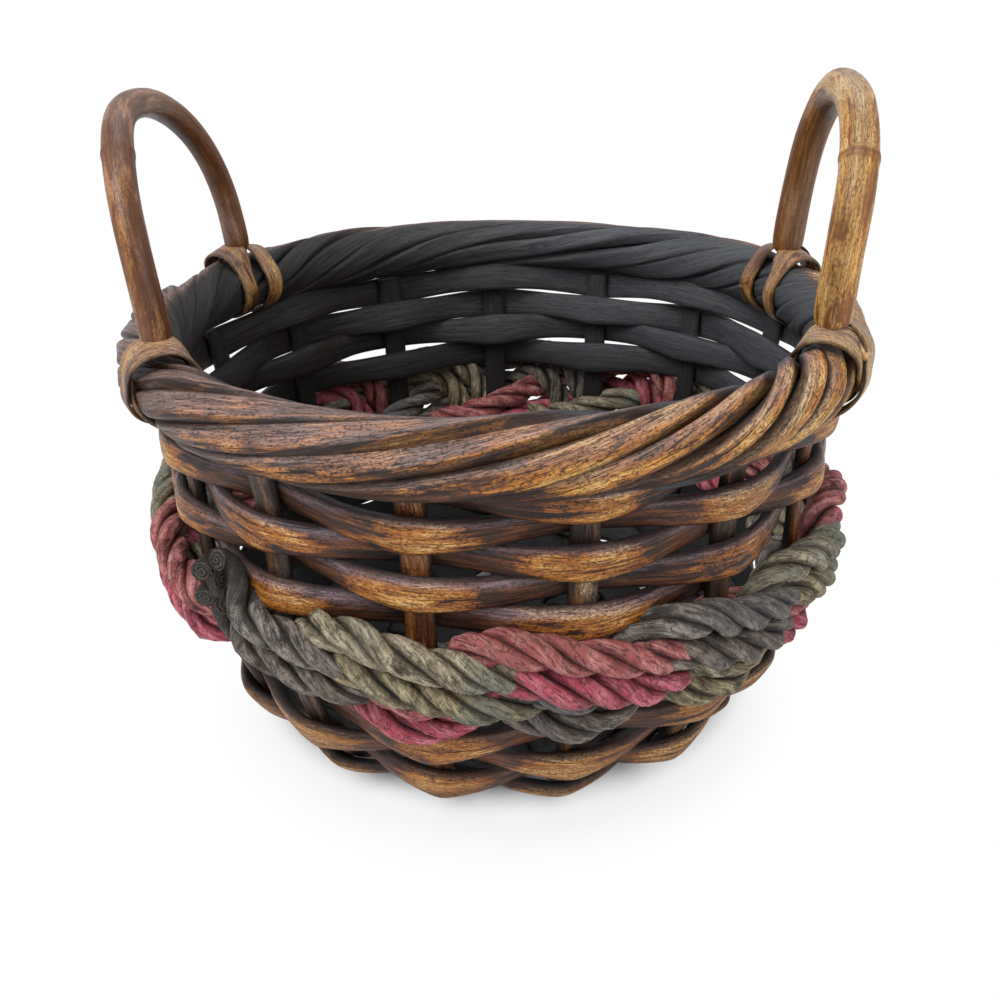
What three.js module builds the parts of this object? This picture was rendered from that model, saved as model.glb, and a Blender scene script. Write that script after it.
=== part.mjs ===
// A round woven basket with a rolled border, a plaited cord band and two lashed ear handles.
// Millimetres, +Z up. The basket stands on z = 0, the handles are on -X and +X, its front faces -Y.
import * as THREE from 'three';

const turn = 2 * Math.PI;
const degree = Math.PI / 180;

// Sizes that the whole basket shares.
const clearance = 0.3;          // gap left where two pieces touch
const stakeCount = 15;          // odd, so one weaver goes over and under by itself
const firstStakeAngle = -78 * degree;

// Border: canes rolled round a hoop.
const rimRingRadius = 125;      // centre line of the roll
const rimRollRadius = 12;
const rimCoreBore = 5.2;        // inside of the ring of canes
const caneTurns = 2;            // turns of one cane round the hoop
const caneSpaceCount = 9;       // stake spaces that one cane runs

// Stakes.
const stakeWidth = 9;
const stakeThickness = 4.6;
const neckInset = 2;            // stake tops stand this far inside the roll's centre line
const bellyInset = 5.5;         // the belly's radius is this much less than the roll's centre line
const bellyRise = 98;           // height of the belly over the floor
const floorInset = 43.5;        // from the belly in to where the stakes turn up

// Weavers.
const weaverHeight = 9;         // where two courses cross, between stakes
const weaverSpread = 10.6;      // its height where it lies flat on a stake
const weaverThickness = 5.5;
const passRun = 1.5;            // how far it runs flat past a stake's edge
const upperGap = 0.4;           // between one course and the next
const lowerGap = 0.7;
const upperSpaceCount = 62;     // stake spaces that the upper weave runs
const lowerSpaceCount = 61;
const upperLengthCount = 4;     // joined lengths of weaver
const lowerLengthCount = 3;
const upperStartPlace = -1;     // the stake where it starts
const lowerStartPlace = -2;
const lowestCourseGap = 9.6;    // from where the stakes turn up to the last course's end

// Plaited band: three strands, each a pair of cords.
const cordRadius = 4.3;
const cordGap = 0.3;
const plaitSwing = 15.4;        // a strand's way up and down from the band's middle
const plaitCutGap = 17;         // between the cut ends

// Floor.
const hoopHeight = 6;
const hoopWidth = 12;
const hoopInset = 4;            // from where the stakes turn up in to the hoop
const floorWeaverWidth = 10.8;  // about, to fill the floor with whole courses
const floorWeaverThickness = 3;
const floorGap = 0.4;
const floorLengthCount = 2;
const hubRadius = 32;
const hubGrooveDepth = 10;

// Handles and their lashings.
const leftHandle = { thickness: 10, rise: 60.5, lean: 12, square: 0.87, middlePlace: 10.75, halfSpaces: 1.25 };
const rightHandle = { thickness: 12, rise: 66, lean: 6, square: 0.8, middlePlace: 3, halfSpaces: 1 };
const tongueWidth = 7;
const tongueThickness = 2.4;
const lashWidth = 8.5;
const lashThickness = 1.3;

// The foot, and how far along the wall each band of weaving lies, stacked from the floor's edge up.
const stakeSpace = turn / stakeCount;
const bellyRadius = rimRingRadius - bellyInset;
const floorRadius = bellyRadius - floorInset;
const hoopOuterRadius = floorRadius - hoopInset;
const hubBase = hoopHeight + clearance;
const floorHeight = hubBase + floorWeaverThickness + clearance + stakeThickness / 2;
const bellyHeight = floorHeight + bellyRise;
const lowerPitch = weaverHeight + lowerGap;
const lowerStart = lowestCourseGap + lowerPitch * lowerSpaceCount / stakeCount;
const pairOffset = cordRadius + cordGap / 2;
const plaitHalf = plaitSwing + pairOffset + cordRadius;
const plaitRun = lowerStart + weaverSpread / 2 + clearance + plaitHalf;
const upperPitch = weaverHeight + upperGap;
const upperEnd = plaitRun + plaitHalf + clearance + weaverSpread / 2;
const upperStart = upperEnd + upperPitch * upperSpaceCount / stakeCount;

// The first course leaves room for the lashings, which pass under the roll at the front right foot.
const rollStepsPerSpace = 2;
const rollSag = rimRingRadius * (1 - Math.cos(stakeSpace / rollStepsPerSpace / 2));
const frontFootPlace = rightHandle.middlePlace - rightHandle.halfSpaces;
const footDrop = upperPitch * (frontFootPlace - upperStartPlace) / stakeCount;
const lashRoom = Math.max(clearance, lashThickness + 2 * clearance + rollSag - footDrop);
const wallRun = upperStart + weaverSpread / 2 + lashRoom - clearance;

// Colours.
function material(colour, roughness) {
  return new THREE.MeshStandardMaterial({ color: colour, roughness, metalness: 0 });
}
const stakeWood = material('#4a4440', 0.7);
const weaverWood = material('#8a5526', 0.45);
const rimWood = material('#6e4427', 0.45);
const handleWood = material('#7a4520', 0.35);
const lashPeel = material('#7d6148', 0.5);
const floorWood = material('#5b4a3b', 0.7);
const hubWood = material('#6b4c33', 0.6);
const strands = [
  { name: 'crimson', paper: material('#a04052', 0.85) },
  { name: 'grey', paper: material('#5d5c5c', 0.85) },
  { name: 'olive', paper: material('#7a7660', 0.85) },
];

const basket = new THREE.Group();
basket.name = 'braided_basket';

// One closed body through a row of rings, capped at both ends or joined into a loop.
function loft(name, rings, looped, finish) {
  const count = rings[0].length;
  const places = rings.flat().flatMap((point) => [point.x, point.y, point.z]);
  const faces = [];
  const bands = looped ? rings.length : rings.length - 1;
  for (let band = 0; band < bands; band += 1) {
    const here = band * count;
    const next = ((band + 1) % rings.length) * count;
    for (let side = 0; side < count; side += 1) {
      const other = (side + 1) % count;
      faces.push([here + side, here + other, next + other]);
      faces.push([here + side, next + other, next + side]);
    }
  }
  const last = (rings.length - 1) * count;
  for (let side = 2; side < count && !looped; side += 1) {
    faces.push([0, side, side - 1]);
    faces.push([last, last + side - 1, last + side]);
  }
  if (enclosed(rings.flat(), faces) < 0) {
    faces.forEach((face) => face.reverse());
  }
  const geometry = new THREE.BufferGeometry();
  geometry.setAttribute('position', new THREE.Float32BufferAttribute(places, 3));
  geometry.setIndex(faces.flat());
  geometry.computeVertexNormals();
  const mesh = new THREE.Mesh(geometry, finish);
  mesh.name = name;
  basket.add(mesh);
}

// Signed volume, to tell which way a body's faces turn.
function enclosed(points, faces) {
  const cross = new THREE.Vector3();
  const parts = faces.map(([a, b, c]) => points[a].dot(cross.crossVectors(points[b], points[c])));
  return parts.reduce((sum, value) => sum + value, 0);
}

// A ring of points round a centre: each corner is a share of the two half sizes.
function ring(centre, across, along, halfAcross, halfAlong, corners) {
  return corners.map(([u, v]) => centre.clone()
    .addScaledVector(across, u * halfAcross)
    .addScaledVector(along, v * halfAlong));
}

function roundCorners(sides) {
  const step = turn / sides;
  return Array.from({ length: sides }, (_, side) => [Math.cos(side * step), Math.sin(side * step)]);
}

const flatCorners = [[1, 0.5], [0, 1], [-1, 0.5], [-1, -0.5], [0, -1], [1, -0.5]];
const squareCorners = [[1, 1], [-1, 1], [-1, -1], [1, -1]];
const upward = new THREE.Vector3(0, 0, 1);

function outward(angle) {
  return new THREE.Vector3(Math.cos(angle), Math.sin(angle), 0);
}

function sideways(angle) {
  return outward(angle + turn / 4);
}

function at(angle, radius, height) {
  return outward(angle).multiplyScalar(radius).setZ(height);
}

// The stakes' centre line, from the floor up: a full turn to the belly, then a slight flare.
const wallBends = 12;
const wallFullness = 0.9;       // 1 for a quarter of an ellipse, less for a squarer turn
const wall = [];
for (let bend = 0; bend <= wallBends; bend += 1) {
  const lean = turn / 4 * bend / wallBends;
  const radius = floorRadius + (bellyRadius - floorRadius) * Math.sin(lean) ** wallFullness;
  addWallSpot(radius, bellyHeight - bellyRise * Math.abs(Math.cos(lean)) ** wallFullness);
}
const neckRadius = rimRingRadius - neckInset;
const neckRise = wallRun - wall[wallBends].run;
const flareSteps = 2;
for (let step = 1; step <= flareSteps; step += 1) {
  const share = step / flareSteps;
  const radius = bellyRadius + (neckRadius - bellyRadius) * share * share;
  addWallSpot(radius, bellyHeight + neckRise * share);
}
wall.forEach((spot, index) => {
  const before = wall[Math.max(index - 1, 0)].place;
  const after = wall[Math.min(index + 1, wall.length - 1)].place;
  spot.tangent = index === 0 ? new THREE.Vector2(1, 0) : after.clone().sub(before).normalize();
});
const rimHeight = wall[wall.length - 1].place.y + clearance + rimRollRadius;

function addWallSpot(radius, height) {
  const place = new THREE.Vector2(radius, height);
  const before = wall[wall.length - 1];
  wall.push({ place, run: before ? before.run + before.place.distanceTo(place) : 0 });
}

// Place, tangent and outward normal of the wall at a run along it.
function wallAt(run) {
  let index = 1;
  while (index < wall.length - 1 && wall[index].run < run) {
    index += 1;
  }
  const low = wall[index - 1];
  const high = wall[index];
  const share = (run - low.run) / (high.run - low.run);
  const place = low.place.clone().lerp(high.place, share);
  const tangent = low.tangent.clone().lerp(high.tangent, share).normalize();
  return { radius: place.x, height: place.y, tangent, normal: new THREE.Vector2(tangent.y, -tangent.x) };
}

// A direction given in the plane through the basket's axis at an angle.
function inPlane(angle, direction) {
  return outward(angle).multiplyScalar(direction.x).setZ(direction.y);
}

function stakeAngle(place) {
  return firstStakeAngle + place * stakeSpace;
}

function makeStakes() {
  const hubEndRadius = hubRadius - hubGrooveDepth + clearance;
  const hubEnd = { place: new THREE.Vector2(hubEndRadius, floorHeight), tangent: wall[0].tangent };
  for (let stake = 0; stake < stakeCount; stake += 1) {
    const angle = stakeAngle(stake);
    const rings = [hubEnd, ...wall].map((spot) => {
      const normal = inPlane(angle, new THREE.Vector2(spot.tangent.y, -spot.tangent.x));
      const centre = at(angle, spot.place.x, spot.place.y);
      return ring(centre, normal, sideways(angle), stakeThickness / 2, stakeWidth / 2, flatCorners);
    });
    loft(`stake_${String(stake + 1).padStart(2, '0')}`, rings, false, stakeWood);
  }
}

// Where a weaver has a ring: at each stake's two edges, on its inside or outside in turn, and,
// where asked, half way to the next stake.
function weaverStops(from, to, radiusAt, halfWay) {
  const stops = [];
  for (let stake = from; stake <= to; stake += 1) {
    const pass = (stakeWidth / 2 + passRun) / (radiusAt(stake) * stakeSpace);
    const side = stake % 2 === 0 ? -1 : 1;
    stops.push({ place: Math.max(stake - pass, from), side });
    stops.push({ place: Math.min(stake + pass, to), side });
    if (halfWay && stake < to) {
      stops.push({ place: stake + 1 / 2, side: 0 });
    }
  }
  return stops;
}

// Lengths of weaver that meet end to end inside, behind an even stake.
function jointPlaces(span, lengths) {
  return Array.from({ length: lengths + 1 }, (_, length) => 2 * Math.round(span * length / lengths / 2));
}

// Both ends of a length are trimmed by half a clearance.
function trimmed(place, from, to, radius) {
  const trim = clearance / 2 / (radius * stakeSpace);
  return Math.min(Math.max(place, from + trim), to - trim);
}

function makeWeave(name, span, lengths, startPlace, startRun, pitch) {
  const swing = stakeThickness / 2 + clearance + weaverThickness / 2;
  const joints = jointPlaces(span, lengths);
  const spotAt = (place) => wallAt(startRun - pitch * place / stakeCount);
  const radiusAt = (place) => spotAt(place).radius;
  for (let length = 0; length < lengths; length += 1) {
    const from = joints[length];
    const to = joints[length + 1];
    const rings = weaverStops(from, to, radiusAt, true).map(({ place, side }) => {
      const spot = spotAt(place);
      const angle = stakeAngle(startPlace + trimmed(place, from, to, spot.radius));
      const normal = inPlane(angle, spot.normal);
      const tall = inPlane(angle, spot.tangent);
      const centre = at(angle, spot.radius, spot.height).addScaledVector(normal, swing * side);
      const halfHeight = (side === 0 ? weaverHeight : weaverSpread) / 2;
      return ring(centre, normal, tall, weaverThickness / 2, halfHeight, flatCorners);
    });
    loft(`${name}_${length + 1}`, rings, false, weaverWood);
  }
}

// The floor's weaver fills the room between the hub and where the stakes turn up.
function makeFloorWeave() {
  const room = floorRadius - hubRadius - clearance;
  const wishedTurns = (room - floorWeaverWidth) / (floorWeaverWidth + floorGap);
  const spaces = Math.max(2 * Math.round(stakeCount * wishedTurns / 2), stakeCount + 1);
  const turns = spaces / stakeCount;
  const width = (room - floorGap * turns) / (1 + turns);
  const start = hubRadius + clearance + width / 2;
  const swing = stakeThickness / 2 + clearance + floorWeaverThickness / 2;
  const radiusAt = (place) => start + (width + floorGap) * place / stakeCount;
  const joints = jointPlaces(spaces, floorLengthCount);
  for (let length = 0; length < floorLengthCount; length += 1) {
    const from = joints[length];
    const to = joints[length + 1];
    const rings = weaverStops(from, to, radiusAt, false).map(({ place, side }) => {
      const radius = radiusAt(place);
      const angle = stakeAngle(trimmed(place, from, to, radius));
      const centre = at(angle, radius, floorHeight + swing * side);
      return ring(centre, upward, outward(angle), floorWeaverThickness / 2, width / 2, squareCorners);
    });
    loft(`floor_weaver_${length + 1}`, rings, false, floorWood);
  }
}

function circle(radius, height) {
  const sides = 24;
  return Array.from({ length: sides }, (_, side) => at(turn * side / sides, radius, height));
}

// A turned hub, whose groove holds the stakes' ends.
function makeHub() {
  const grooveHalf = stakeThickness / 2 + clearance;
  const grooveRadius = hubRadius - hubGrooveDepth;
  const rings = [
    circle(hubRadius, hubBase),
    circle(hubRadius, floorHeight - grooveHalf),
    circle(grooveRadius, floorHeight - grooveHalf),
    circle(grooveRadius, floorHeight + grooveHalf),
    circle(hubRadius, floorHeight + grooveHalf),
    circle(hubRadius, 2 * floorHeight - hubBase),
  ];
  loft('floor_hub', rings, false, hubWood);
}

function makeFootHoop() {
  const steps = 45;
  const rings = Array.from({ length: steps }, (_, step) => {
    const angle = turn * step / steps;
    const centre = at(angle, hoopOuterRadius - hoopWidth / 2, hoopHeight / 2);
    return ring(centre, outward(angle), upward, hoopWidth / 2, hoopHeight / 2, squareCorners);
  });
  loft('foot_hoop', rings, true, floorWood);
}

// In and out path of a strand through one period of three stakes, as shares of the reach at which a
// cord lies on a stake: in front of two stakes, behind the third.
const plaitReach = stakeThickness / 2 + clearance + cordRadius;
const plaitSwayShares = [0.98, 0.06, -0.8, 1.01, 2.05, 1.78, 0.77, -1.22, -1.01, 0.77, 2.02, 1.72];
const plaitLagShare = 0.875;    // of a stake space, from a strand's start to the next stake
const plaitPeriod = 3;
const plaitStart = -2.6;        // in stake spaces, at the left of the front
const cordStepsPerSpace = 6;

// A smooth closed curve through the shares.
function plaitSway(phase) {
  const count = plaitSwayShares.length;
  const spot = (phase / turn * count % count + count) % count;
  const index = Math.floor(spot);
  const share = spot - index;
  const [before, here, next, after] = [-1, 0, 1, 2]
    .map((step) => plaitSwayShares[(index + step + count) % count]);
  const curve = 2 * here + (next - before) * share
    + (2 * before - 5 * here + 4 * next - after) * share ** 2
    + (3 * here - before - 3 * next + after) * share ** 3;
  return plaitReach * curve / 2;
}

function makePlait() {
  const corners = roundCorners(5);
  const cutSpace = plaitCutGap / bellyRadius / stakeSpace;
  const steps = Math.floor((stakeCount - cutSpace) * cordStepsPerSpace);
  strands.forEach((strand, order) => {
    [1, -1].forEach((side) => {
      const rings = Array.from({ length: steps + 1 }, (_, step) => {
        const place = plaitStart + step / cordStepsPerSpace;
        const phase = turn * (place + plaitLagShare - order) / plaitPeriod;
        const climb = plaitSwing * Math.cos(phase) * turn / plaitPeriod / (bellyRadius * stakeSpace);
        const pitchAngle = Math.atan(climb);
        const run = plaitRun + plaitSwing * Math.sin(phase) + side * pairOffset * Math.cos(pitchAngle);
        const spot = wallAt(run);
        const angle = stakeAngle(place) - side * pairOffset * Math.sin(pitchAngle) / spot.radius;
        const normal = inPlane(angle, spot.normal);
        const tall = inPlane(angle, spot.tangent).multiplyScalar(Math.cos(pitchAngle))
          .addScaledVector(sideways(angle), -Math.sin(pitchAngle));
        const centre = at(angle, spot.radius, spot.height).addScaledVector(normal, plaitSway(phase));
        return ring(centre, normal, tall, cordRadius, cordRadius, corners);
      });
      loft(`cord_${strand.name}_${side > 0 ? 'upper' : 'lower'}`, rings, false, strand.paper);
    });
  });
}

// The roll's rings stand at the same places for all canes, so neighbours stay parallel.
const rollTurnPerSpace = turn * caneTurns / caneSpaceCount;
const ridgeShare = 0.94;        // a cane's outer corners, as a share of the roll's radius

function onRoll(angle, round, radius) {
  return at(angle, rimRingRadius + radius * Math.cos(round), rimHeight + radius * Math.sin(round));
}

function makeBorder() {
  const sector = turn / caneSpaceCount;
  for (let cane = 0; cane < stakeCount; cane += 1) {
    const steps = caneSpaceCount * rollStepsPerSpace;
    const rings = Array.from({ length: steps + 1 }, (_, step) => {
      const place = trimmed(cane + step / rollStepsPerSpace, cane, cane + caneSpaceCount, rimRingRadius);
      const angle = stakeAngle(place);
      const middle = rollTurnPerSpace * (place - cane) - turn / 8;
      const half = sector / 2;
      const outerHalf = half - clearance / 2 / rimRollRadius;
      const innerHalf = half - clearance / 2 / rimCoreBore;
      return [
        onRoll(angle, middle - innerHalf, rimCoreBore),
        onRoll(angle, middle - outerHalf, rimRollRadius * ridgeShare),
        onRoll(angle, middle, rimRollRadius),
        onRoll(angle, middle + outerHalf, rimRollRadius * ridgeShare),
        onRoll(angle, middle + innerHalf, rimCoreBore),
      ];
    });
    loft(`border_cane_${String(cane + 1).padStart(2, '0')}`, rings, false, rimWood);
  }
}

function makeBorderHoop() {
  const halfTwist = rollTurnPerSpace / rollStepsPerSpace / 2;
  const halfSector = turn / caneSpaceCount / 2;
  const radius = rimCoreBore * Math.cos(halfSector) * Math.cos(halfTwist) - clearance;
  const rings = Array.from({ length: stakeCount * rollStepsPerSpace }, (_, step) => {
    const angle = stakeAngle(step / rollStepsPerSpace);
    return ring(at(angle, rimRingRadius, rimHeight), outward(angle), upward, radius, radius, roundCorners(8));
  });
  loft('border_hoop', rings, true, rimWood);
}

// Round the roll at a foot: its centre and reach, with the slack that its straight steps leave.
const rollCentre = rimRingRadius - rollSag / 2;
const rollReach = rimRollRadius + rollSag / 2 + clearance;

// A handle: an arch between two feet, whose shaved ends go over the roll and down its outer side.
const archSteps = 16;
const scarfShare = 0.55;        // where the scarf has its middle ring, between leg and tongue
const tongueTop = 75 * degree;
const tongueEnd = 30 * degree;
const tongueSteps = 3;

function makeHandle(name, sizes) {
  const facing = stakeAngle(sizes.middlePlace);
  const footAngle = sizes.halfSpaces * stakeSpace;
  const corners = roundCorners(8);
  const half = sizes.thickness / 2;
  const footHeight = rimHeight + rollReach + half;
  const arch = Array.from({ length: archSteps + 1 }, (_, step) => {
    const sweep = Math.PI * step / archSteps;
    const rise = Math.sin(sweep) ** sizes.square;
    const across = -Math.sign(Math.cos(sweep)) * Math.abs(Math.cos(sweep)) ** sizes.square;
    const out = rimRingRadius * Math.cos(footAngle) + sizes.lean * (1 - (1 - rise) ** 3);
    return outward(facing).multiplyScalar(out)
      .addScaledVector(sideways(facing), rimRingRadius * Math.sin(footAngle) * across)
      .setZ(footHeight + sizes.rise * rise);
  });
  const archRings = arch.map((centre, index) => {
    const along = new THREE.Vector3(0, 0, index === 0 ? 1 : -1);
    if (index > 0 && index < archSteps) {
      along.copy(arch[index + 1]).sub(arch[index - 1]).normalize();
    }
    const out = centre.clone().setZ(0).normalize();
    out.addScaledVector(along, -out.dot(along)).normalize();
    const side = new THREE.Vector3().crossVectors(along, out);
    return ring(centre, out, side, half, half, corners);
  });
  const first = tongue(facing - footAngle, 1, half, footHeight, corners);
  const second = tongue(facing + footAngle, -1, half, footHeight, corners);
  loft(name, [...first.reverse(), ...archRings, ...second], false, handleWood);
}

// A foot's rings from the leg down: the scarf, then the tongue that lies on the roll.
function tongue(angle, hand, legHalf, footHeight, corners) {
  const side = sideways(angle).multiplyScalar(hand);
  const reach = rollReach + tongueThickness / 2;
  const stops = Array.from({ length: tongueSteps }, (_, step) => {
    const round = tongueTop + (tongueEnd - tongueTop) * step / (tongueSteps - 1);
    return {
      radius: rollCentre + reach * Math.cos(round),
      height: rimHeight + reach * Math.sin(round),
      round,
      half: tongueThickness / 2,
      wide: tongueWidth / 2,
    };
  });
  const leg = { radius: rimRingRadius, height: footHeight, round: 0, half: legHalf, wide: legHalf };
  const scarf = {};
  Object.keys(leg).forEach((key) => {
    scarf[key] = leg[key] + (stops[0][key] - leg[key]) * scarfShare;
  });
  return [scarf, ...stops].map((stop) => {
    const normal = inPlane(angle, new THREE.Vector2(Math.cos(stop.round), Math.sin(stop.round)));
    return ring(at(angle, stop.radius, stop.height), normal, side, stop.half, stop.wide, corners);
  });
}

// A lashing: a strip looped twice round the roll, past each side of a leg, crossed on the outer side.
const lashSteps = 32;
const tongueMiddle = turn / 2 - (tongueTop + tongueEnd) / 2;
const coverFull = 32 * degree;  // the strip is lifted over a tongue this far to both sides,
const coverNone = 58 * degree;  // and back down on the roll from here

function makeLashing(name, handle, end) {
  const angle = stakeAngle(handle.middlePlace + end * handle.halfSpaces);
  const halfSpread = (handle.thickness / 2 + clearance + lashWidth / 2) / Math.cos(turn / 8) + clearance;
  const stepStretch = 1 / Math.cos(turn / lashSteps);
  const rings = Array.from({ length: lashSteps }, (_, step) => {
    const sweep = 2 * turn * step / lashSteps;
    const round = turn / 2 - sweep;
    const nearness = Math.cos(sweep - tongueMiddle) - Math.cos(coverNone);
    const cover = Math.min(Math.max(nearness / (Math.cos(coverFull) - Math.cos(coverNone)), 0), 1);
    const lift = (tongueThickness + clearance) * cover;
    const layer = (lashThickness + clearance) * Math.max(Math.sin(sweep / 2), 0) ** 2;
    const reach = (rollReach + lift + layer) * stepStretch + lashThickness / 2;
    const spread = halfSpread * Math.cos(sweep / 2);
    const slip = halfSpread / 2 * Math.sin(sweep / 2);
    const here = angle + spread / rimRingRadius;
    const normal = inPlane(here, new THREE.Vector2(Math.cos(round), Math.sin(round)));
    const forward = inPlane(here, new THREE.Vector2(Math.sin(round), -Math.cos(round)));
    const wide = forward.multiplyScalar(slip).addScaledVector(sideways(here), reach).normalize();
    const centre = at(here, rollCentre + reach * Math.cos(round), rimHeight + reach * Math.sin(round));
    return ring(centre, normal, wide, lashThickness / 2, lashWidth / 2, squareCorners);
  });
  loft(name, rings, true, lashPeel);
}

makeFootHoop();
makeHub();
makeStakes();
makeFloorWeave();
makeWeave('weaver_lower', lowerSpaceCount, lowerLengthCount, lowerStartPlace, lowerStart, lowerPitch);
makePlait();
makeWeave('weaver_upper', upperSpaceCount, upperLengthCount, upperStartPlace, upperStart, upperPitch);
makeBorderHoop();
makeBorder();
makeHandle('handle_right', rightHandle);
makeHandle('handle_left', leftHandle);
makeLashing('lashing_right_front', rightHandle, -1);
makeLashing('lashing_right_back', rightHandle, 1);
makeLashing('lashing_left_back', leftHandle, -1);
makeLashing('lashing_left_front', leftHandle, 1);

export default basket;
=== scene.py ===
# %% [markdown]
# # A round woven basket, piece by piece
# The basket has stakes that rise from a hub, flat canes woven round them, a band of plaited paper
# cord, a border of canes rolled like a rope, and two ear handles that peel lashings hold. Each of
# those is one kind of long thin thing on a curved path. So one helper that wraps a grid round a
# path makes nearly all of it, and the work goes into the paths and the finishes.

import math

import bmesh
import bpy
from mathutils import Matrix, Vector, noise


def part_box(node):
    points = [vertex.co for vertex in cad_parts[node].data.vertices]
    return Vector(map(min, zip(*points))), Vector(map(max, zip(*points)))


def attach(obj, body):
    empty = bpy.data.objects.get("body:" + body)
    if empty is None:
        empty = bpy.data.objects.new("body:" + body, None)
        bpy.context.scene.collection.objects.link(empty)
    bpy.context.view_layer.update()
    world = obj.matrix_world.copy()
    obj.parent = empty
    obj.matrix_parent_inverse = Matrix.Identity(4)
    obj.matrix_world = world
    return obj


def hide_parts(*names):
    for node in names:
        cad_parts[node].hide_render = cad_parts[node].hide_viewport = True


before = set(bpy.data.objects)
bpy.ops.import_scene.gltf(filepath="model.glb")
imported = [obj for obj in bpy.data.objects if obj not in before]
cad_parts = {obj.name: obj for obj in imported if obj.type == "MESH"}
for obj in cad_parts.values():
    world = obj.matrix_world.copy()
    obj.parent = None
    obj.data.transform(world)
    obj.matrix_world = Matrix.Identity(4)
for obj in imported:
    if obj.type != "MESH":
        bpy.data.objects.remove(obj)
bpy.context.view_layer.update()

# %% [markdown]
# ## Sizes
# These are the sizes of the CAD model, in metres. The rim's height is read from the frame, so it
# can't drift away from the solids. The stakes stand at equal angles. An odd number of them lets one
# weaver go in front of one stake and behind the next, course after course.

# %% Sizes and places round the basket
MM = 0.001
TURN = 2 * math.pi
STAKES = 15
SPACE = TURN / STAKES
FIRST_STAKE = math.radians(-78)
RIM_RADIUS = 125 * MM
ROLL_RADIUS = 12 * MM
STAKE_WIDTH = 9 * MM
STAKE_THICKNESS = 4.6 * MM
WEAVER_THICKNESS = 5.5 * MM
GAP = 0.3 * MM
BELLY_RADIUS = 119.5 * MM
BELLY_RISE = 98 * MM
WALL_FULLNESS = 0.9
FLOOR_RADIUS = 76 * MM
NECK_RADIUS = 123 * MM
FLOOR_HEIGHT = 11.9 * MM
BELLY_HEIGHT = FLOOR_HEIGHT + BELLY_RISE
hoop_low, hoop_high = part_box("border_hoop")
RIM_HEIGHT = (hoop_low.z + hoop_high.z) / 2
WALL_TOP = RIM_HEIGHT - ROLL_RADIUS - GAP


def stake_angle(place):
    """The angle of a place that is counted in stake spaces from the first stake."""
    return FIRST_STAKE + place * SPACE


def outward(angle):
    return Vector((math.cos(angle), math.sin(angle), 0))


def sideways(angle):
    return Vector((-math.sin(angle), math.cos(angle), 0))


def at(angle, radius, height):
    return Vector((math.cos(angle) * radius, math.sin(angle) * radius, height))


def smooth(low, high, value):
    """0 below low, 1 above high, and an even S-curve between them."""
    share = min(max((value - low) / (high - low), 0), 1)
    return share * share * (3 - 2 * share)


def wander(seed, place):
    """A slow random number between about -1 and 1, the same on each run."""
    return noise.noise(Vector((seed * 7.31, place, seed * 1.7))) * 2


print("rim height", round(RIM_HEIGHT / MM, 2), "mm")

# %% [markdown]
# ## The wall
# The stakes turn up from the floor in a rounded quarter, and flare a little under the border. The
# weavers lie along that wall, so their place is a run along it, not a height. The runs are summed
# over the same steps as the CAD model's, so that a run means the same place in both.

# %% The wall's profile
WALL_BENDS = 12
FLARE_STEPS = 2
LOOK_AHEAD = 0.1


def wall_spot(step):
    """Radius and height at a step of the profile, which may lie between two whole ones."""
    if step <= WALL_BENDS:
        lean = TURN / 4 * step / WALL_BENDS
        radius = FLOOR_RADIUS + (BELLY_RADIUS - FLOOR_RADIUS) * math.sin(lean) ** WALL_FULLNESS
        return Vector((radius, BELLY_HEIGHT - BELLY_RISE * max(math.cos(lean), 0) ** WALL_FULLNESS))
    share = (step - WALL_BENDS) / FLARE_STEPS
    radius = BELLY_RADIUS + (NECK_RADIUS - BELLY_RADIUS) * share * share
    return Vector((radius, BELLY_HEIGHT + (WALL_TOP - BELLY_HEIGHT) * share))


wall_runs = [0.0]
for step in range(WALL_BENDS + FLARE_STEPS):
    wall_runs.append(wall_runs[-1] + (wall_spot(step + 1) - wall_spot(step)).length)


def wall_at(run):
    """Radius, height, and the outward and upward directions of the wall at a run along it."""
    step = 0
    while step < len(wall_runs) - 2 and wall_runs[step + 1] < run:
        step += 1
    share = (run - wall_runs[step]) / (wall_runs[step + 1] - wall_runs[step])
    here = max(step + share, 0)
    spot = wall_spot(here)
    ahead = wall_spot(here + LOOK_AHEAD) - wall_spot(max(here - LOOK_AHEAD, 0))
    ahead.normalize()
    return spot.x, spot.y, Vector((ahead.y, -ahead.x)), ahead


def in_plane(angle, direction):
    """A direction of the wall's profile, turned to an angle round the basket."""
    return outward(angle) * direction.x + Vector((0, 0, direction.y))


print("wall run", round(wall_runs[-1] / MM, 1), "mm")

# %% [markdown]
# ## Sweeping a ring along a path
# A cane is a long rod of one section. It could be a curve with a bevel, but then its section could
# not change along it. So a flat grid is made with as many columns as the section has corners and as
# many rows as the path has frames, and it is wrapped round the path. Each frame sets the width, the
# thickness and the turn of its row. Every vertex also notes where it would lie if the cane were
# pulled straight, so that the grain can follow it, and where on the face it lies. The caps are
# marked as cut ends.

# %% The sweep helper
SEAM = 0.0005 * MM
SEED_SHIFT = 10


class Spot:
    """One frame of a path: a centre, two directions, the half sizes along them, and a mark.

    The mark is a number from 0 to 1 that the finish reads, such as how near a weaver's crest is."""

    def __init__(self, centre, across, tall, half_across, half_tall, mark=0.5):
        self.mark = mark
        self.centre = centre
        self.across = across
        self.tall = tall
        self.half_across = half_across
        self.half_tall = half_tall


def section(sides, squareness=2.0):
    """Corners of a superellipse: 2 is an ellipse, and more is nearer to a box."""
    corners = []
    for side in range(sides):
        angle = TURN * (side + 0.5) / sides
        cosine, sine = math.cos(angle), math.sin(angle)
        corners.append((math.copysign(abs(cosine) ** (2 / squareness), cosine),
                        math.copysign(abs(sine) ** (2 / squareness), sine)))
    return corners


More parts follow.
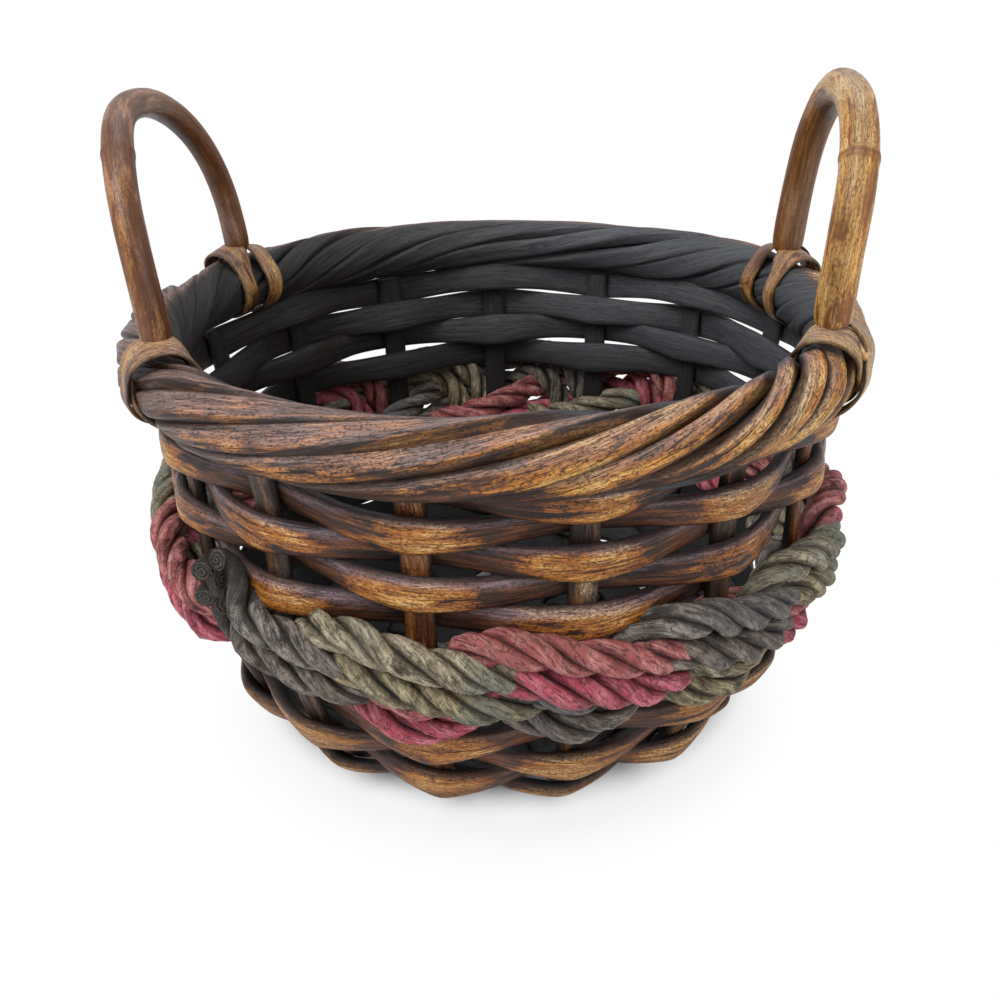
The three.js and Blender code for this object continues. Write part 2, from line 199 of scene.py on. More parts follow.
def sweep(bm, spots, corners, seed=0.0, tone=None, looped=False):
    """Wraps a grid round the spots. tone(spot, u, w, index) shades a corner from 0 to 1."""
    straight = bm.verts.layers.float_vector["straight"]
    lie = bm.verts.layers.float_vector["lie"]
    shade = bm.verts.layers.float["tone"]
    cut = bm.faces.layers.float["cut"]
    if looped:
        spots = spots + spots[:1]
    sides, rows = len(corners), len(spots) - 1
    runs = [0.0]
    for before, after in zip(spots, spots[1:]):
        runs.append(runs[-1] + (after.centre - before.centre).length)
    grid = bmesh.ops.create_grid(bm, x_segments=sides, y_segments=rows, size=1)["verts"]
    for vertex in grid:
        u, w = corners[round((vertex.co.x + 1) / 2 * sides) % sides]
        index = round((vertex.co.y + 1) / 2 * rows)
        spot = spots[index]
        x, y = u * spot.half_across, w * spot.half_tall
        vertex.co = spot.centre + spot.across * x + spot.tall * y
        vertex[straight] = (x, y, runs[index] + seed * SEED_SHIFT)
        vertex[lie] = (spot.mark, w, u)
        vertex[shade] = tone(spot, u, w, index) if tone else 1.0
    faces = {face for vertex in grid for face in vertex.link_faces}
    bmesh.ops.remove_doubles(bm, verts=grid, dist=SEAM)
    if not looped:
        rims = {edge for face in faces if face.is_valid for edge in face.edges if edge.is_boundary}
        for cap in bmesh.ops.holes_fill(bm, edges=list(rims), sides=0)["faces"]:
            cap[cut] = 1.0


print("a round section of 8 has its first corner at", [round(part, 2) for part in section(8)[0]])

# %% [markdown]
# ## From a path to a piece
# Where only a centre line is known, each frame has to stand square to it. Then the outward hint is
# made square to the way ahead, and the other direction follows from the two. A finished bmesh
# becomes an object at the origin that rides the basket's one body, and it takes the place of the
# CAD nodes that it dresses.

# %% Frames and pieces
def along(centres, hints, halves):
    """Frames that stand square to a path. A hint says which way the first direction faces."""
    spots = []
    last = len(centres) - 1
    for index, centre in enumerate(centres):
        ahead = (centres[min(index + 1, last)] - centres[max(index - 1, 0)]).normalized()
        across = (hints[index] - ahead * hints[index].dot(ahead)).normalized()
        spots.append(Spot(centre, across, ahead.cross(across), *halves[index]))
    return spots


def new_bmesh():
    bm = bmesh.new()
    bm.verts.layers.float_vector.new("straight")
    bm.verts.layers.float_vector.new("lie")
    bm.verts.layers.float.new("tone")
    bm.faces.layers.float.new("cut")
    return bm


pieces = []


def piece(name, bm, finish, replaced):
    """Turns a finished bmesh into a piece of the basket that stands for some CAD nodes."""
    bmesh.ops.recalc_face_normals(bm, faces=bm.faces)
    for face in bm.faces:
        face.smooth = len(face.verts) == 4
    mesh = bpy.data.meshes.new(name)
    bm.to_mesh(mesh)
    bm.free()
    mesh.materials.append(finish)
    thing = bpy.data.objects.new(name, mesh)
    bpy.context.scene.collection.objects.link(thing)
    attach(thing, "root")
    if replaced:
        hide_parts(*replaced)
    pieces.append(thing)
    return thing


print("frames and pieces are ready")

# %% [markdown]
# ## Writing shader maths as sums
# A material's pattern is a sum of noises and masks. With a wrapper round a node's socket, a Python
# expression such as 1 - mask * 0.5 adds the Math nodes itself, and it reads like the formula.

# %% Sockets as numbers
class Signal:
    """A number that changes over a surface: the output socket of some node."""

    def __init__(self, tree, socket):
        self.tree = tree
        self.socket = socket

    def maths(self, operation, other, flipped=False):
        pair = (other, self) if flipped else (self, other)
        return self.tree.node("ShaderNodeMath", {"operation": operation}, {0: pair[0], 1: pair[1]})

    def __add__(self, other):
        return self.maths("ADD", other)

    __radd__ = __add__

    def __sub__(self, other):
        return self.maths("SUBTRACT", other)

    def __rsub__(self, other):
        return self.maths("SUBTRACT", other, True)

    def __mul__(self, other):
        return self.maths("MULTIPLY", other)

    __rmul__ = __mul__

    def __truediv__(self, other):
        return self.maths("DIVIDE", other)

    def __rtruediv__(self, other):
        return self.maths("DIVIDE", other, True)

    def __pow__(self, other):
        return self.maths("POWER", other)


print("sockets add, subtract, multiply, divide and take powers")

# %% [markdown]
# ## A material that is being written
# A finish needs only a few kinds of node, over and over. One method adds any of them, and a few
# short ones name the patterns that wood and paper share: a stretched noise for grain, a mask
# between two values, and a thin line along a noise's contour for a crack. Only Base Color,
# Roughness and a Bump node on Normal are fed, because those are what changes over the surface.

# %% The finish helper
def linear(colour):
    """A colour written as #rrggbb, as the linear numbers that a shader takes."""
    values = [int(colour[place:place + 2], 16) / 255 for place in (1, 3, 5)]
    return tuple(v / 12.92 if v <= 0.04045 else ((v + 0.055) / 1.055) ** 2.4 for v in values) + (1.0,)


class Finish:
    """A node material that is being written."""

    def __init__(self, name):
        self.material = bpy.data.materials.new(name)
        self.material.use_nodes = True
        self.nodes = self.material.node_tree.nodes
        self.links = self.material.node_tree.links
        self.shader = self.nodes["Principled BSDF"]

    def node(self, kind, settings=None, inputs=None, output=0):
        """Adds any node: its settings first, then the values or links of its sockets."""
        made = self.nodes.new(kind)
        for key, value in (settings or {}).items():
            if key == "stops":
                ramp = made.color_ramp
                while len(ramp.elements) < len(value):
                    ramp.elements.new(0.5)
                for element, (position, colour) in zip(ramp.elements, value):
                    element.position = position
                    element.color = colour
            else:
                setattr(made, key, value)
        for key, value in (inputs or {}).items():
            if isinstance(value, Signal):
                self.links.new(value.socket, made.inputs[key])
            else:
                made.inputs[key].default_value = value
        return Signal(self, made.outputs[output])

    def attribute(self, name, output):
        return self.node("ShaderNodeAttribute", {"attribute_name": name}, output=output)

    def noise(self, vector, scale, detail=2.0, roughness=0.5, distortion=0.0):
        inputs = {"Vector": vector, "Scale": scale, "Detail": detail,
                  "Roughness": roughness, "Distortion": distortion}
        return self.node("ShaderNodeTexNoise", inputs=inputs, output="Fac")

    def stretched(self, vector, scale):
        """A vector with each of its three parts multiplied by its own number."""
        return self.node("ShaderNodeVectorMath", {"operation": "MULTIPLY"}, {0: vector, 1: scale})

    def between(self, value, low, high):
        """0 where a value is under low, 1 where it is over high, smooth between them."""
        inputs = {"Value": value, "From Min": low, "From Max": high}
        return self.node("ShaderNodeMapRange", {"interpolation_type": "SMOOTHSTEP"}, inputs)

    def near(self, value, middle, width):
        """1 where a value passes a middle one, which draws thin lines along a noise's contours."""
        gap = (value - middle).maths("ABSOLUTE", 0.0)
        return self.between(gap, width, width * 0.3)

    def part(self, vector, letter):
        """One of the three numbers of a vector."""
        return self.node("ShaderNodeSeparateXYZ", inputs={0: vector}, output=letter)

    def mix(self, factor, first, second):
        """Blends two colours, each a #rrggbb or the output of another node."""
        first = linear(first) if isinstance(first, str) else first
        second = linear(second) if isinstance(second, str) else second
        settings = {"data_type": "RGBA"}
        return self.node("ShaderNodeMix", settings, {0: factor, 6: first, 7: second}, output=2)

    def done(self, colour, roughness, height=None, depth=0.3 * MM, strength=0.6):
        self.links.new(colour.socket, self.shader.inputs["Base Color"])
        if isinstance(roughness, Signal):
            self.links.new(roughness.socket, self.shader.inputs["Roughness"])
        else:
            self.shader.inputs["Roughness"].default_value = roughness
        if height is not None:
            bump = self.node("ShaderNodeBump", inputs={"Height": height, "Distance": depth,
                                                       "Strength": strength})
            self.links.new(bump.socket, self.shader.inputs["Normal"])
        return self.material


print("mid grey is", round(linear("#808080")[0], 3), "in a shader")

# %% [markdown]
# ## A cane's grain
# The grain of a cane could be an image, but noise that is stretched along each cane needs none and
# never repeats. A few noises, from broad patches to fine fibres, shape all the rest of the finish, so
# they are made once, beside what the mesh notes: how deep a place lies, whether it is on a cut end,
# how near it is to a crest, and how near to the edge of the cane's face.

# %% A cane's grain
class Cane(Finish):
    """A finish that holds the noises of a cane's grain and the notes of its mesh."""

    def __init__(self, name, seed):
        super().__init__(name)
        straight = self.stretched(self.attribute("straight", "Vector"), (1000, 1000, 1000))
        place = self.node("ShaderNodeTexCoord", output="Object")
        lie = self.attribute("lie", "Vector")
        self.tone = self.attribute("tone", "Fac")
        self.cut = self.attribute("cut", "Fac")
        self.crest = self.part(lie, "X")
        self.edge = self.part(lie, "Y")
        self.right = self.part(place, "X")
        self.level = self.part(place, "Z")
        self.up = self.part(self.node("ShaderNodeTexCoord", output="Normal"), "Z")
        self.patch = self.noise(self.stretched(straight, (0.2, 0.2, 0.05)), 1.0, 4.0, 0.6, 0.5)
        self.broad = self.noise(self.stretched(place, (30 + seed, 30, 30)), 1.0, 2.0, 0.5)
        self.streak = self.noise(self.stretched(straight, (0.8, 0.8, 0.04)), 1.0, 3.0, 0.6, 0.3)
        self.fibre = self.noise(self.stretched(straight, (1.3, 1.3, 0.05)), 1.0, 2.0, 0.6, 0.2)
        self.fine = self.noise(self.stretched(straight, (4.0, 4.0, 0.22)), 1.0, 2.0, 0.65)
        self.speck = self.noise(self.stretched(straight, (1.6, 1.6, 0.9)), 1.0, 3.0, 0.7)
        self.threads = self.fibre * 0.5 + self.fine * 0.5
        self.rubbed = self.between(self.threads, 0.4, 0.56)
        self.lines = self.near(self.fibre, 0.5, 0.028)
        self.dots = self.between(self.speck, 0.455, 0.4)
        self.creases = self.between(self.streak * 0.7 + self.fibre * 0.3, 0.41, 0.36)


print("a cane's grain is ready")

# %% [markdown]
# ## Worn stain, painted sheen and glints
# The canes are stained dark red-brown and varnished. The stain has worn to amber and then to gold in
# long patches, first on the ridges of the grain. A grey bloom of dust and painted sheen lies on what
# faces up and isn't rubbed. Small painted highlights, the glints, sit where the wear is deepest.

# %% Worn stain, painted sheen and glints
# colour of the painted highlights
PAINTED_GLINT = "#f6e0aa"


def worn_stain_and_sheen(cane, dark, middle, amber, gold, dust_and_sheen_colour, amber_share, dust_and_sheen_share, pull, lean):
    """The amber gathers on the crests that the marks name (pull) and towards the right (lean)."""
    low = 0.56 - 0.12 * amber_share
    worn = cane.patch * 0.5 + cane.broad * 0.22 + cane.streak * 0.13 + cane.speck * 0.15
    worn = worn + (cane.crest - 0.5) * pull + (cane.tone - 1) * 0.3 + cane.right * lean
    colour = cane.mix(cane.between(cane.patch * 0.5 + cane.streak * 0.5, 0.4, 0.6), dark, middle)
    amber_mask = cane.between(worn, low, low + 0.06)
    colour = cane.mix(amber_mask * (0.55 + 0.45 * cane.rubbed), colour, amber)
    gold_mask = cane.between(worn, low + 0.05, low + 0.14) * cane.rubbed
    colour = cane.mix(gold_mask * 0.9, colour, gold)
    # the grey here is dust together with a painted sheen on what faces up and on upper edges
    dust_and_sheen = cane.up * 0.4 + cane.edge * 0.22 + cane.broad * 0.5 + cane.patch * 0.4
    dust_and_sheen = cane.between(dust_and_sheen - cane.crest * pull - cane.right * lean, 0.45, 0.75)
    colour = cane.mix(dust_and_sheen * (0.45 + 0.55 * cane.rubbed) * dust_and_sheen_share, colour, dust_and_sheen_colour)
    # painted highlights, cream glints where the wear is deepest
    painted_glints = cane.between(worn, low + 0.1, low + 0.18) * cane.between(cane.speck, 0.5, 0.57)
    return cane.mix(painted_glints * 0.5, colour, PAINTED_GLINT)


print("worn stain is ready")

# %% [markdown]
# ## Cracks, specks, painted shade and the inside
# Stain gathers in the grain as dark lines and specks, and old canes have fine black cracks. Their
# edges and the sides that face down get painted shade. On the inside the basket was stained too,
# but hardly any light gets in, so the canes are nearly black there, most of all low down, and they
# look bluish to the right, where the daylight falls on them.

# %% Dark grain, painted shade and the inside
NEARLY_BLACK = "#0f0805"
# colours of the painted shade on cane edges and on undersides
EDGE_SHADE, UNDERSIDE_SHADE = "#1a0d07", "#150c07"
INNER_LINE, INNER_DEPTH = "#0b0a0b", "#0c0806"


def dark_grain_and_shade(cane, colour, dark, split, flames):
    """Lines, specks, cracks and long dark flames, with painted shade on the edges and the underside."""
    colour = cane.mix(cane.lines * 0.72, colour, dark)
    colour = cane.mix(cane.between(cane.fine, 0.43, 0.35) * 0.5, colour, dark)
    colour = cane.mix(cane.dots * 0.7, colour, dark)
    colour = cane.mix(split, colour, NEARLY_BLACK)
    colour = cane.mix(cane.creases * 0.85 * flames, colour, NEARLY_BLACK)
    # painted shade along each cane's edges, where the gaps between canes lie
    edge_shade = cane.between(cane.edge * cane.edge, 0.5, 0.95)
    colour = cane.mix(edge_shade * 0.45 * (0.6 + 0.9 * flames), colour, EDGE_SHADE)
    # painted shade on the sides that face down
    underside_shade = cane.between(cane.up, -0.35, -0.9)
    return cane.mix(underside_shade * 0.6, colour, UNDERSIDE_SHADE)


def inner_side(cane, inside):
    """The side towards the middle of the basket, in its three colours."""
    bluish = cane.between(cane.right + cane.broad * 0.06, -0.05, 0.11)
    colour = cane.mix(bluish, inside[0], inside[1])
    combed = cane.between(cane.threads * 0.6 + cane.streak * 0.4, 0.42, 0.6)
    colour = cane.mix(combed * (0.22 + bluish * 0.4), colour, inside[2])
    colour = cane.mix(cane.near(cane.fibre, 0.5, 0.03) * 0.6, colour, INNER_LINE)
    low_down = cane.between(cane.level, 0.125, 0.085)
    return cane.mix(low_down * 0.8, colour, INNER_DEPTH)


print("dark grain and the inside are ready")

# %% [markdown]
# ## The cane finish
# The tone of a vertex chooses between the outer and the inner side, and a cut end shows pale pith.
# The fibres and lines are a little rougher than the varnish, and the streaks stand up in relief. The
# same recipe with other colours makes the weavers, the border, the handles and the lashings.

# %% The cane finish
CANE_RELIEF = 0.55 * MM
PITH_DARK, PITH_PALE = "#2a1a10", "#8a6a42"


def cane_finish(name, dark, middle, amber, gold, dust_and_sheen_colour, inside, seed, amber_share=0.5, dust_and_sheen_share=0.5,
                gloss=0.36, relief=1.0, pull=0.0, lean=0.0, cracks=0.3, flames=1.0):
    """The shares set the amber, and the dust with painted sheen; flames sets how strongly dark streaks
    show.
    """
    cane = Cane(name, seed)
    split = cane.near(cane.streak, 0.47, 0.013) * cane.between(cane.patch, 0.42, 0.5) * cracks
    outer = worn_stain_and_sheen(cane, dark, middle, amber, gold, dust_and_sheen_colour, amber_share, dust_and_sheen_share, pull, lean)
    outer = dark_grain_and_shade(cane, outer, dark, split, flames)
    colour = cane.mix(cane.between(cane.tone, 0.0, 0.55), inner_side(cane, inside), outer)
    pith = cane.between(cane.speck * 0.5 + cane.fine * 0.5, 0.45, 0.58)
    colour = cane.mix(cane.cut, colour, cane.mix(pith, PITH_DARK, PITH_PALE))
    rough = cane.fibre * 0.3 + cane.lines * 0.1 + cane.creases * 0.3
    rough = rough + (gloss - 0.08) + (1 - cane.tone) * 0.22
    height = cane.streak * 0.45 + cane.fibre * 0.3 + cane.patch * 0.3 + cane.fine * 0.12
    height = height - cane.lines * 0.1 - cane.dots * 0.12 - split * 0.3
    return cane.done(colour, rough, height, CANE_RELIEF * relief, 0.7)


print("the cane recipe is ready")

# %% [markdown]
# ## The cane's colours
# Each finish names its colours from dark stain to worn gold, then the grey of dust and painted
# sheen, then the three of the inside. The lower courses are redder, the right handle is paler and
# more golden than the left one, and some stakes are browner than the others, as on a basket made
# from several bundles of cane.

# %% The cane finishes
INSIDE = ("#17100a", "#464950", "#605f5e")
# For the handles these inner colours show only as painted shade on the back leg and in the knuckle's dark
# ring.
HANDLE_SHADE_AND_RING = ("#4a2814", "#5a3417", "#8a5628")
PEEL_INSIDE = ("#241812", "#2c2a2b", "#4c4038")
STAKE_INSIDE = ("#151110", "#2f3035", "#4a4848")
FLOOR_INSIDE = ("#1d1611", "#2b2b2e", "#403c3a")
weaver_finish = cane_finish(
    "weaver_wood", "#220c05", "#74401d", "#b0671f", "#dc9d44", "#94808a", INSIDE, 1,
    amber_share=0.55, dust_and_sheen_share=0.8, gloss=0.34, pull=0.16)
low_weaver_finish = cane_finish(
    "weaver_wood_low", "#2a0f06", "#7a4018", "#b06a24", "#d69a48", "#8a6f68", INSIDE, 9,
    amber_share=0.7, dust_and_sheen_share=0.45, gloss=0.34, pull=0.16)
rim_finish = cane_finish(
    "rim_wood", "#220c06", "#7f4a28", "#c97d28", "#efb658", "#b0968f", INSIDE, 2,
    amber_share=0.85, dust_and_sheen_share=0.6, gloss=0.3, relief=1.3, lean=0.85, cracks=0.95)
handle_finish = cane_finish(
    "handle_wood", "#64391d", "#94623a", "#b07a45", "#d3a468", "#b99b90", HANDLE_SHADE_AND_RING, 3,
    amber_share=0.6, dust_and_sheen_share=0.75, gloss=0.24, relief=0.4, cracks=0.0, flames=0.15)
golden_finish = cane_finish(
    "handle_wood_golden", "#84501f", "#c48a48", "#e4ae60", "#f8d998", "#e4c9b0", HANDLE_SHADE_AND_RING, 4,
    amber_share=0.9, dust_and_sheen_share=0.6, gloss=0.22, relief=0.5, cracks=0.2, flames=0.3)
pale_peel_finish = cane_finish(
    "lash_peel_pale", "#5a3a24", "#ad8160", "#d6a55c", "#f3d698", "#ccb19e", PEEL_INSIDE, 10,
    amber_share=0.85, dust_and_sheen_share=0.6, gloss=0.3, relief=0.6)
peel_finish = cane_finish(
    "lash_peel", "#4a2818", "#9d6647", "#c9934a", "#eecb86", "#b8988a", PEEL_INSIDE, 5,
    amber_share=0.85, gloss=0.3, relief=0.6)
stake_finish = cane_finish(
    "stake_wood", "#281a13", "#64483a", "#85582f", "#a27c50", "#7f7372", STAKE_INSIDE, 6,
    gloss=0.45, relief=1.2)
brown_stake_finish = cane_finish(
    "stake_wood_brown", "#3a1b0c", "#7c4423", "#a3642c", "#c08b4c", "#8b6a58", STAKE_INSIDE, 11,
    amber_share=0.6, dust_and_sheen_share=0.3, gloss=0.42, relief=1.2)
floor_finish = cane_finish(
    "floor_wood", "#23170f", "#4f3b2b", "#7a5733", "#97764c", "#6d625c", FLOOR_INSIDE, 7,
    amber_share=0.3, dust_and_sheen_share=0.4, gloss=0.5)
hub_finish = cane_finish(
    "hub_wood", "#2b1c12", "#5e442f", "#82613e", "#9b7c52", "#756960", FLOOR_INSIDE, 8,
    amber_share=0.3, dust_and_sheen_share=0.4, gloss=0.5)
print("cane finishes from", weaver_finish.name, "to", hub_finish.name)

# %% [markdown]
# ## Dyed paper cord
# The cord is plies of twisted paper. The paper shows as thin pleats that run a little across each
# ply, with painted shade in their folds and wrinkles. Their crests are faded and carry a painted
# highlight. The dye is uneven from place to place. The ply's depth in the cord darkens it, because
# little light gets there. A cut ply shows that it is a rolled sheet: its end is a spiral, drawn from
# the distance and the angle round the ply's middle.

# %% The paper finish
SHEET_STEP = 1.3
PAPER_RELIEF = 0.8 * MM
# the first colour is painted shade in the folds and wrinkles
FOLD_SHADE, PIT, DEPTH = "#1c1310", "#201613", "#0b0707"
CHAR_DARK, CHAR_PALE = "#0b0807", "#352c26"
RING_DARK, RING_PALE = "#080605", "#584d43"


def spiral_rings(finish, straight, crumple, fine):
    """The edges of a rolled sheet, seen from its end."""
    x, y = finish.part(straight, "X"), finish.part(straight, "Y")
    wound = (x * x + y * y) ** 0.5 / SHEET_STEP - y.maths("ARCTAN2", x) / TURN + crumple * 2.6 + fine * 1.3
    return finish.between((wound * TURN).maths("SINE", 0.0) + fine * 3.0, 1.2, 2.2)


def paper_finish(name, deep, base, faded_and_highlight, stain, seed):
    finish = Finish(name)
    straight = finish.stretched(finish.attribute("straight", "Vector"), (1000, 1000, 1000))
    tone = finish.attribute("tone", "Fac")
    cut = finish.attribute("cut", "Fac")
    burnt = finish.part(finish.attribute("lie", "Vector"), "X")
    place = finish.node("ShaderNodeTexCoord", output="Object")
    pleat = finish.noise(finish.stretched(straight, (0.8, 0.8, 0.1)), 1.0, 2.0, 0.5, 0.3)
    crumple = finish.noise(finish.stretched(straight, (0.32, 0.32, 0.2)), 1.0, 3.0, 0.55, 0.3)
    crossing = finish.noise(finish.stretched(straight, (0.22, 0.22, 0.6)), 1.0, 2.0, 0.5, 0.6)
    fine = finish.noise(finish.stretched(straight, (3.6, 3.6, 1.0)), 1.0, 3.0, 0.65)
    broad = finish.noise(finish.stretched(place, (24 + seed, 24, 24)), 1.0, 2.0, 0.5)
    crest_highlight = finish.between(tone, 0.5, 1.0)
    colour = finish.mix(finish.between(crumple * 0.5 + broad * 0.5, 0.3, 0.5), deep, base)
    pale = finish.between(crumple * 0.5 + fine * 0.3 + pleat * 0.2, 0.42, 0.62)
    # the crests get faded dye and a painted highlight
    colour = finish.mix(crest_highlight * pale * 0.8, colour, faded_and_highlight)
    colour = finish.mix(finish.between(broad + fine * 0.3, 0.64, 0.8) * 0.6, colour, stain)
    fold_shade = finish.near(pleat, 0.5, 0.035)
    wrinkle_shade = finish.near(crossing, 0.5, 0.02)
    # painted shade in the folds and wrinkles
    colour = finish.mix(fold_shade * 0.65, colour, FOLD_SHADE)
    colour = finish.mix(wrinkle_shade * 0.6, colour, FOLD_SHADE)
    colour = finish.mix(finish.between(fine, 0.38, 0.3) * 0.4, colour, PIT)
    colour = finish.mix((1 - tone) * 0.93, colour, DEPTH)
    charred = finish.mix(finish.between(fine * 0.6 + pleat * 0.4, 0.42, 0.6), CHAR_DARK, CHAR_PALE)
    colour = finish.mix(burnt, colour, charred)
    rings = spiral_rings(finish, straight, crumple, fine)
    colour = finish.mix(cut, colour, finish.mix(rings, RING_DARK, RING_PALE))
    height = crumple * 0.5 + pleat * 0.25 - fold_shade * 0.2 - wrinkle_shade * 0.15
    height = height + fine * 0.12 + rings * cut * 0.4
    return finish.done(colour, fine * 0.2 + 0.6, height, PAPER_RELIEF, 0.8)


print("the paper recipe is ready")

# %% [markdown]
# ## The paper's colours
# Each finish names its colours from the deep dye to the faded crests with their painted highlight,
# and then a stain. The basket has three dyes, crimson, grey and olive, and the upper cord of each
# strand is a shade apart.

# %% The paper finishes
rose_finish = paper_finish("rose_paper", "#5c2226", "#a95152", "#d89c95", "#84483f", 1)
crimson_finish = paper_finish("crimson_paper", "#6b1a2c", "#b8445a", "#e0909a", "#8a4a4c", 2)
slate_finish = paper_finish("slate_paper", "#26221f", "#5e554d", "#a8a097", "#5e6066", 3)
grey_finish = paper_finish("grey_paper", "#28221d", "#5b5047", "#a0958a", "#5c5a5c", 4)
olive_finish = paper_finish("olive_paper", "#3c3226", "#877a62", "#d0c4a8", "#66756e", 5)
moss_finish = paper_finish("moss_paper", "#362d20", "#7f7156", "#c2b58f", "#62706a", 6)
print("paper finishes from", rose_finish.name, "to", moss_finish.name)

# %% [markdown]
# ## Stakes
# Each stake is a flat-oval cane. Its end sits in the hub's groove, it runs out through the floor's
# weave, turns up, and ends under the border. The path is the wall's profile, with one more spot at
# the hub. Its width wanders a little, because a stake is split from a cane by hand.

# %% The stakes
HUB_END = 22.3 * MM
STAKE_STEPS = 64


def stake_spots(number):
    angle = stake_angle(number)
    side = sideways(angle)
    spots = [Spot(at(angle, HUB_END, FLOOR_HEIGHT), Vector((0, 0, -1)), side,
                  STAKE_THICKNESS / 2, STAKE_WIDTH / 2)]
    for step in range(STAKE_STEPS + 1):
        run = wall_runs[-1] * step / STAKE_STEPS
        radius, height, normal, ahead = wall_at(run)
        wide = STAKE_WIDTH / 2 * (1.08 + 0.08 * wander(number, run * 30))
        thick = STAKE_THICKNESS / 2 * (1 + 0.04 * wander(number + 40, run * 40))
        spots.append(Spot(at(angle, radius, height), in_plane(angle, normal), side, thick, wide))
    return spots


def face_tone(spot, u, w, index):
    """The outer face of a piece is stained, and its inner face is nearly black."""
    return smooth(-0.5, 0.5, u)


for number in range(STAKES):
    bm = new_bmesh()
    sweep(bm, stake_spots(number), section(16, 2.6), seed=number * 0.05, tone=face_tone)
    name = f"stake_{number + 1:02d}"
    browner = number % 4 == 2
    finish = brown_stake_finish if browner else stake_finish
    piece("visual_" + name, bm, finish, [name])
print("stakes made:", len(pieces))

# %% [markdown]
# ## Weavers
# A weaver passes outside one stake and inside the next, so seen from above it is a wave, and it
# also sinks by one course in each turn round the basket. The weavers could lie on plain rings, but
# the courses were beaten down by hand and don't lie evenly. So each band has a small table that says
# how far it is pressed, and in which places.

# %% The two bands of weaving
WEAVER_TALL = 9 * MM
WEAVER_SPREAD = 10.6 * MM
UPPER_PITCH = 9.4 * MM
LOWER_PITCH = 9.7 * MM
UPPER_SPAN, LOWER_SPAN = 62, 61
CORD_RADIUS = 4.3 * MM
PAIR_OFFSET = CORD_RADIUS + GAP / 2
PLAIT_SWING = 15.4 * MM
PLAIT_HALF = PLAIT_SWING + PAIR_OFFSET + CORD_RADIUS
LOWER_START = 9.6 * MM + LOWER_PITCH * LOWER_SPAN / STAKES
PLAIT_RUN = LOWER_START + WEAVER_SPREAD / 2 + GAP + PLAIT_HALF
UPPER_START = PLAIT_RUN + PLAIT_HALF + GAP + WEAVER_SPREAD / 2 + UPPER_PITCH * UPPER_SPAN / STAKES
# first, last: how far those courses are pushed up; half_way: how much more the first one is, half
# way round; waved: how much that one is waved at the back; pulled: how far the last one is pulled
# down half way round; back: between which sines of the angle the back begins; taller, first_taller,
# last_taller: how much taller the canes are at the back, and in the first and last course; spread:
# how much wider they are pressed where they cross a stake.
UPPER_PRESS = {"first": 5.2 * MM, "last": 1.0 * MM, "half_way": 3.0 * MM, "waved": 1.6 * MM,
               "pulled": 2.2 * MM, "back": (-0.3, 0.5), "taller": 0.2, "first_taller": 0.0,
               "last_taller": 0.0, "spread": 0.0}
LOWER_PRESS = {"first": 11 * MM, "last": -1 * MM, "half_way": 6 * MM, "waved": 0.0,
               "pulled": 2.5 * MM, "back": (-0.8, -0.1), "taller": 0.5, "first_taller": 0.22,
               "last_taller": 0.15, "spread": 2.6 * MM}
print("lower weave starts", round(LOWER_START / MM, 1), "mm up the wall,",
      "upper weave", round(UPPER_START / MM, 1), "mm")

# %% [markdown]
# ## One length of a weaver
# The wave is nearly a sine, but a cane bends most where it crosses a stake and runs straight
# between two, so a folded wave is mixed in. The cane is flat and wide on the stake and a little
# narrower between. Real weavers never lie quite alike, so height, tilt and width wander a little.
# The mark of a frame says how near the crest it is, and the finish wears the crests to amber.

# %% A weaver's frames
STEPS_PER_SPACE = 20
BEND = 0.98
FOLDED_SHARE = 0.7
WEAVER_SWING = (STAKE_THICKNESS + WEAVER_THICKNESS) / 2 + GAP
COURSE_WANDER = 0.6 * MM
SWING_WANDER = 0.4 * MM


def crossing_wave(place):
    """1 where a weaver passes outside a stake and -1 where it passes inside one."""
    cosine = -math.cos(math.pi * place)
    folded = math.asin(BEND * cosine) / math.asin(BEND)
    return FOLDED_SHARE * folded + (1 - FOLDED_SHARE) * math.copysign(abs(cosine) ** 0.7, cosine)


def course_run(place, span, start_run, pitch, press, wave, back):
    """How far up the wall a weaver lies at a place, before its own wander."""
    share = place / span
    run = start_run - pitch * place / STAKES + press["first"] * (1 - share) + press["last"] * share
    if place < STAKES:
        run += press["half_way"] * math.sin(math.pi * place / STAKES) ** 2
        run -= press["waved"] * wave * back
    if place > span - STAKES:
        run -= press["pulled"] * math.sin(math.pi * (span - place) / STAKES) ** 2
    return run


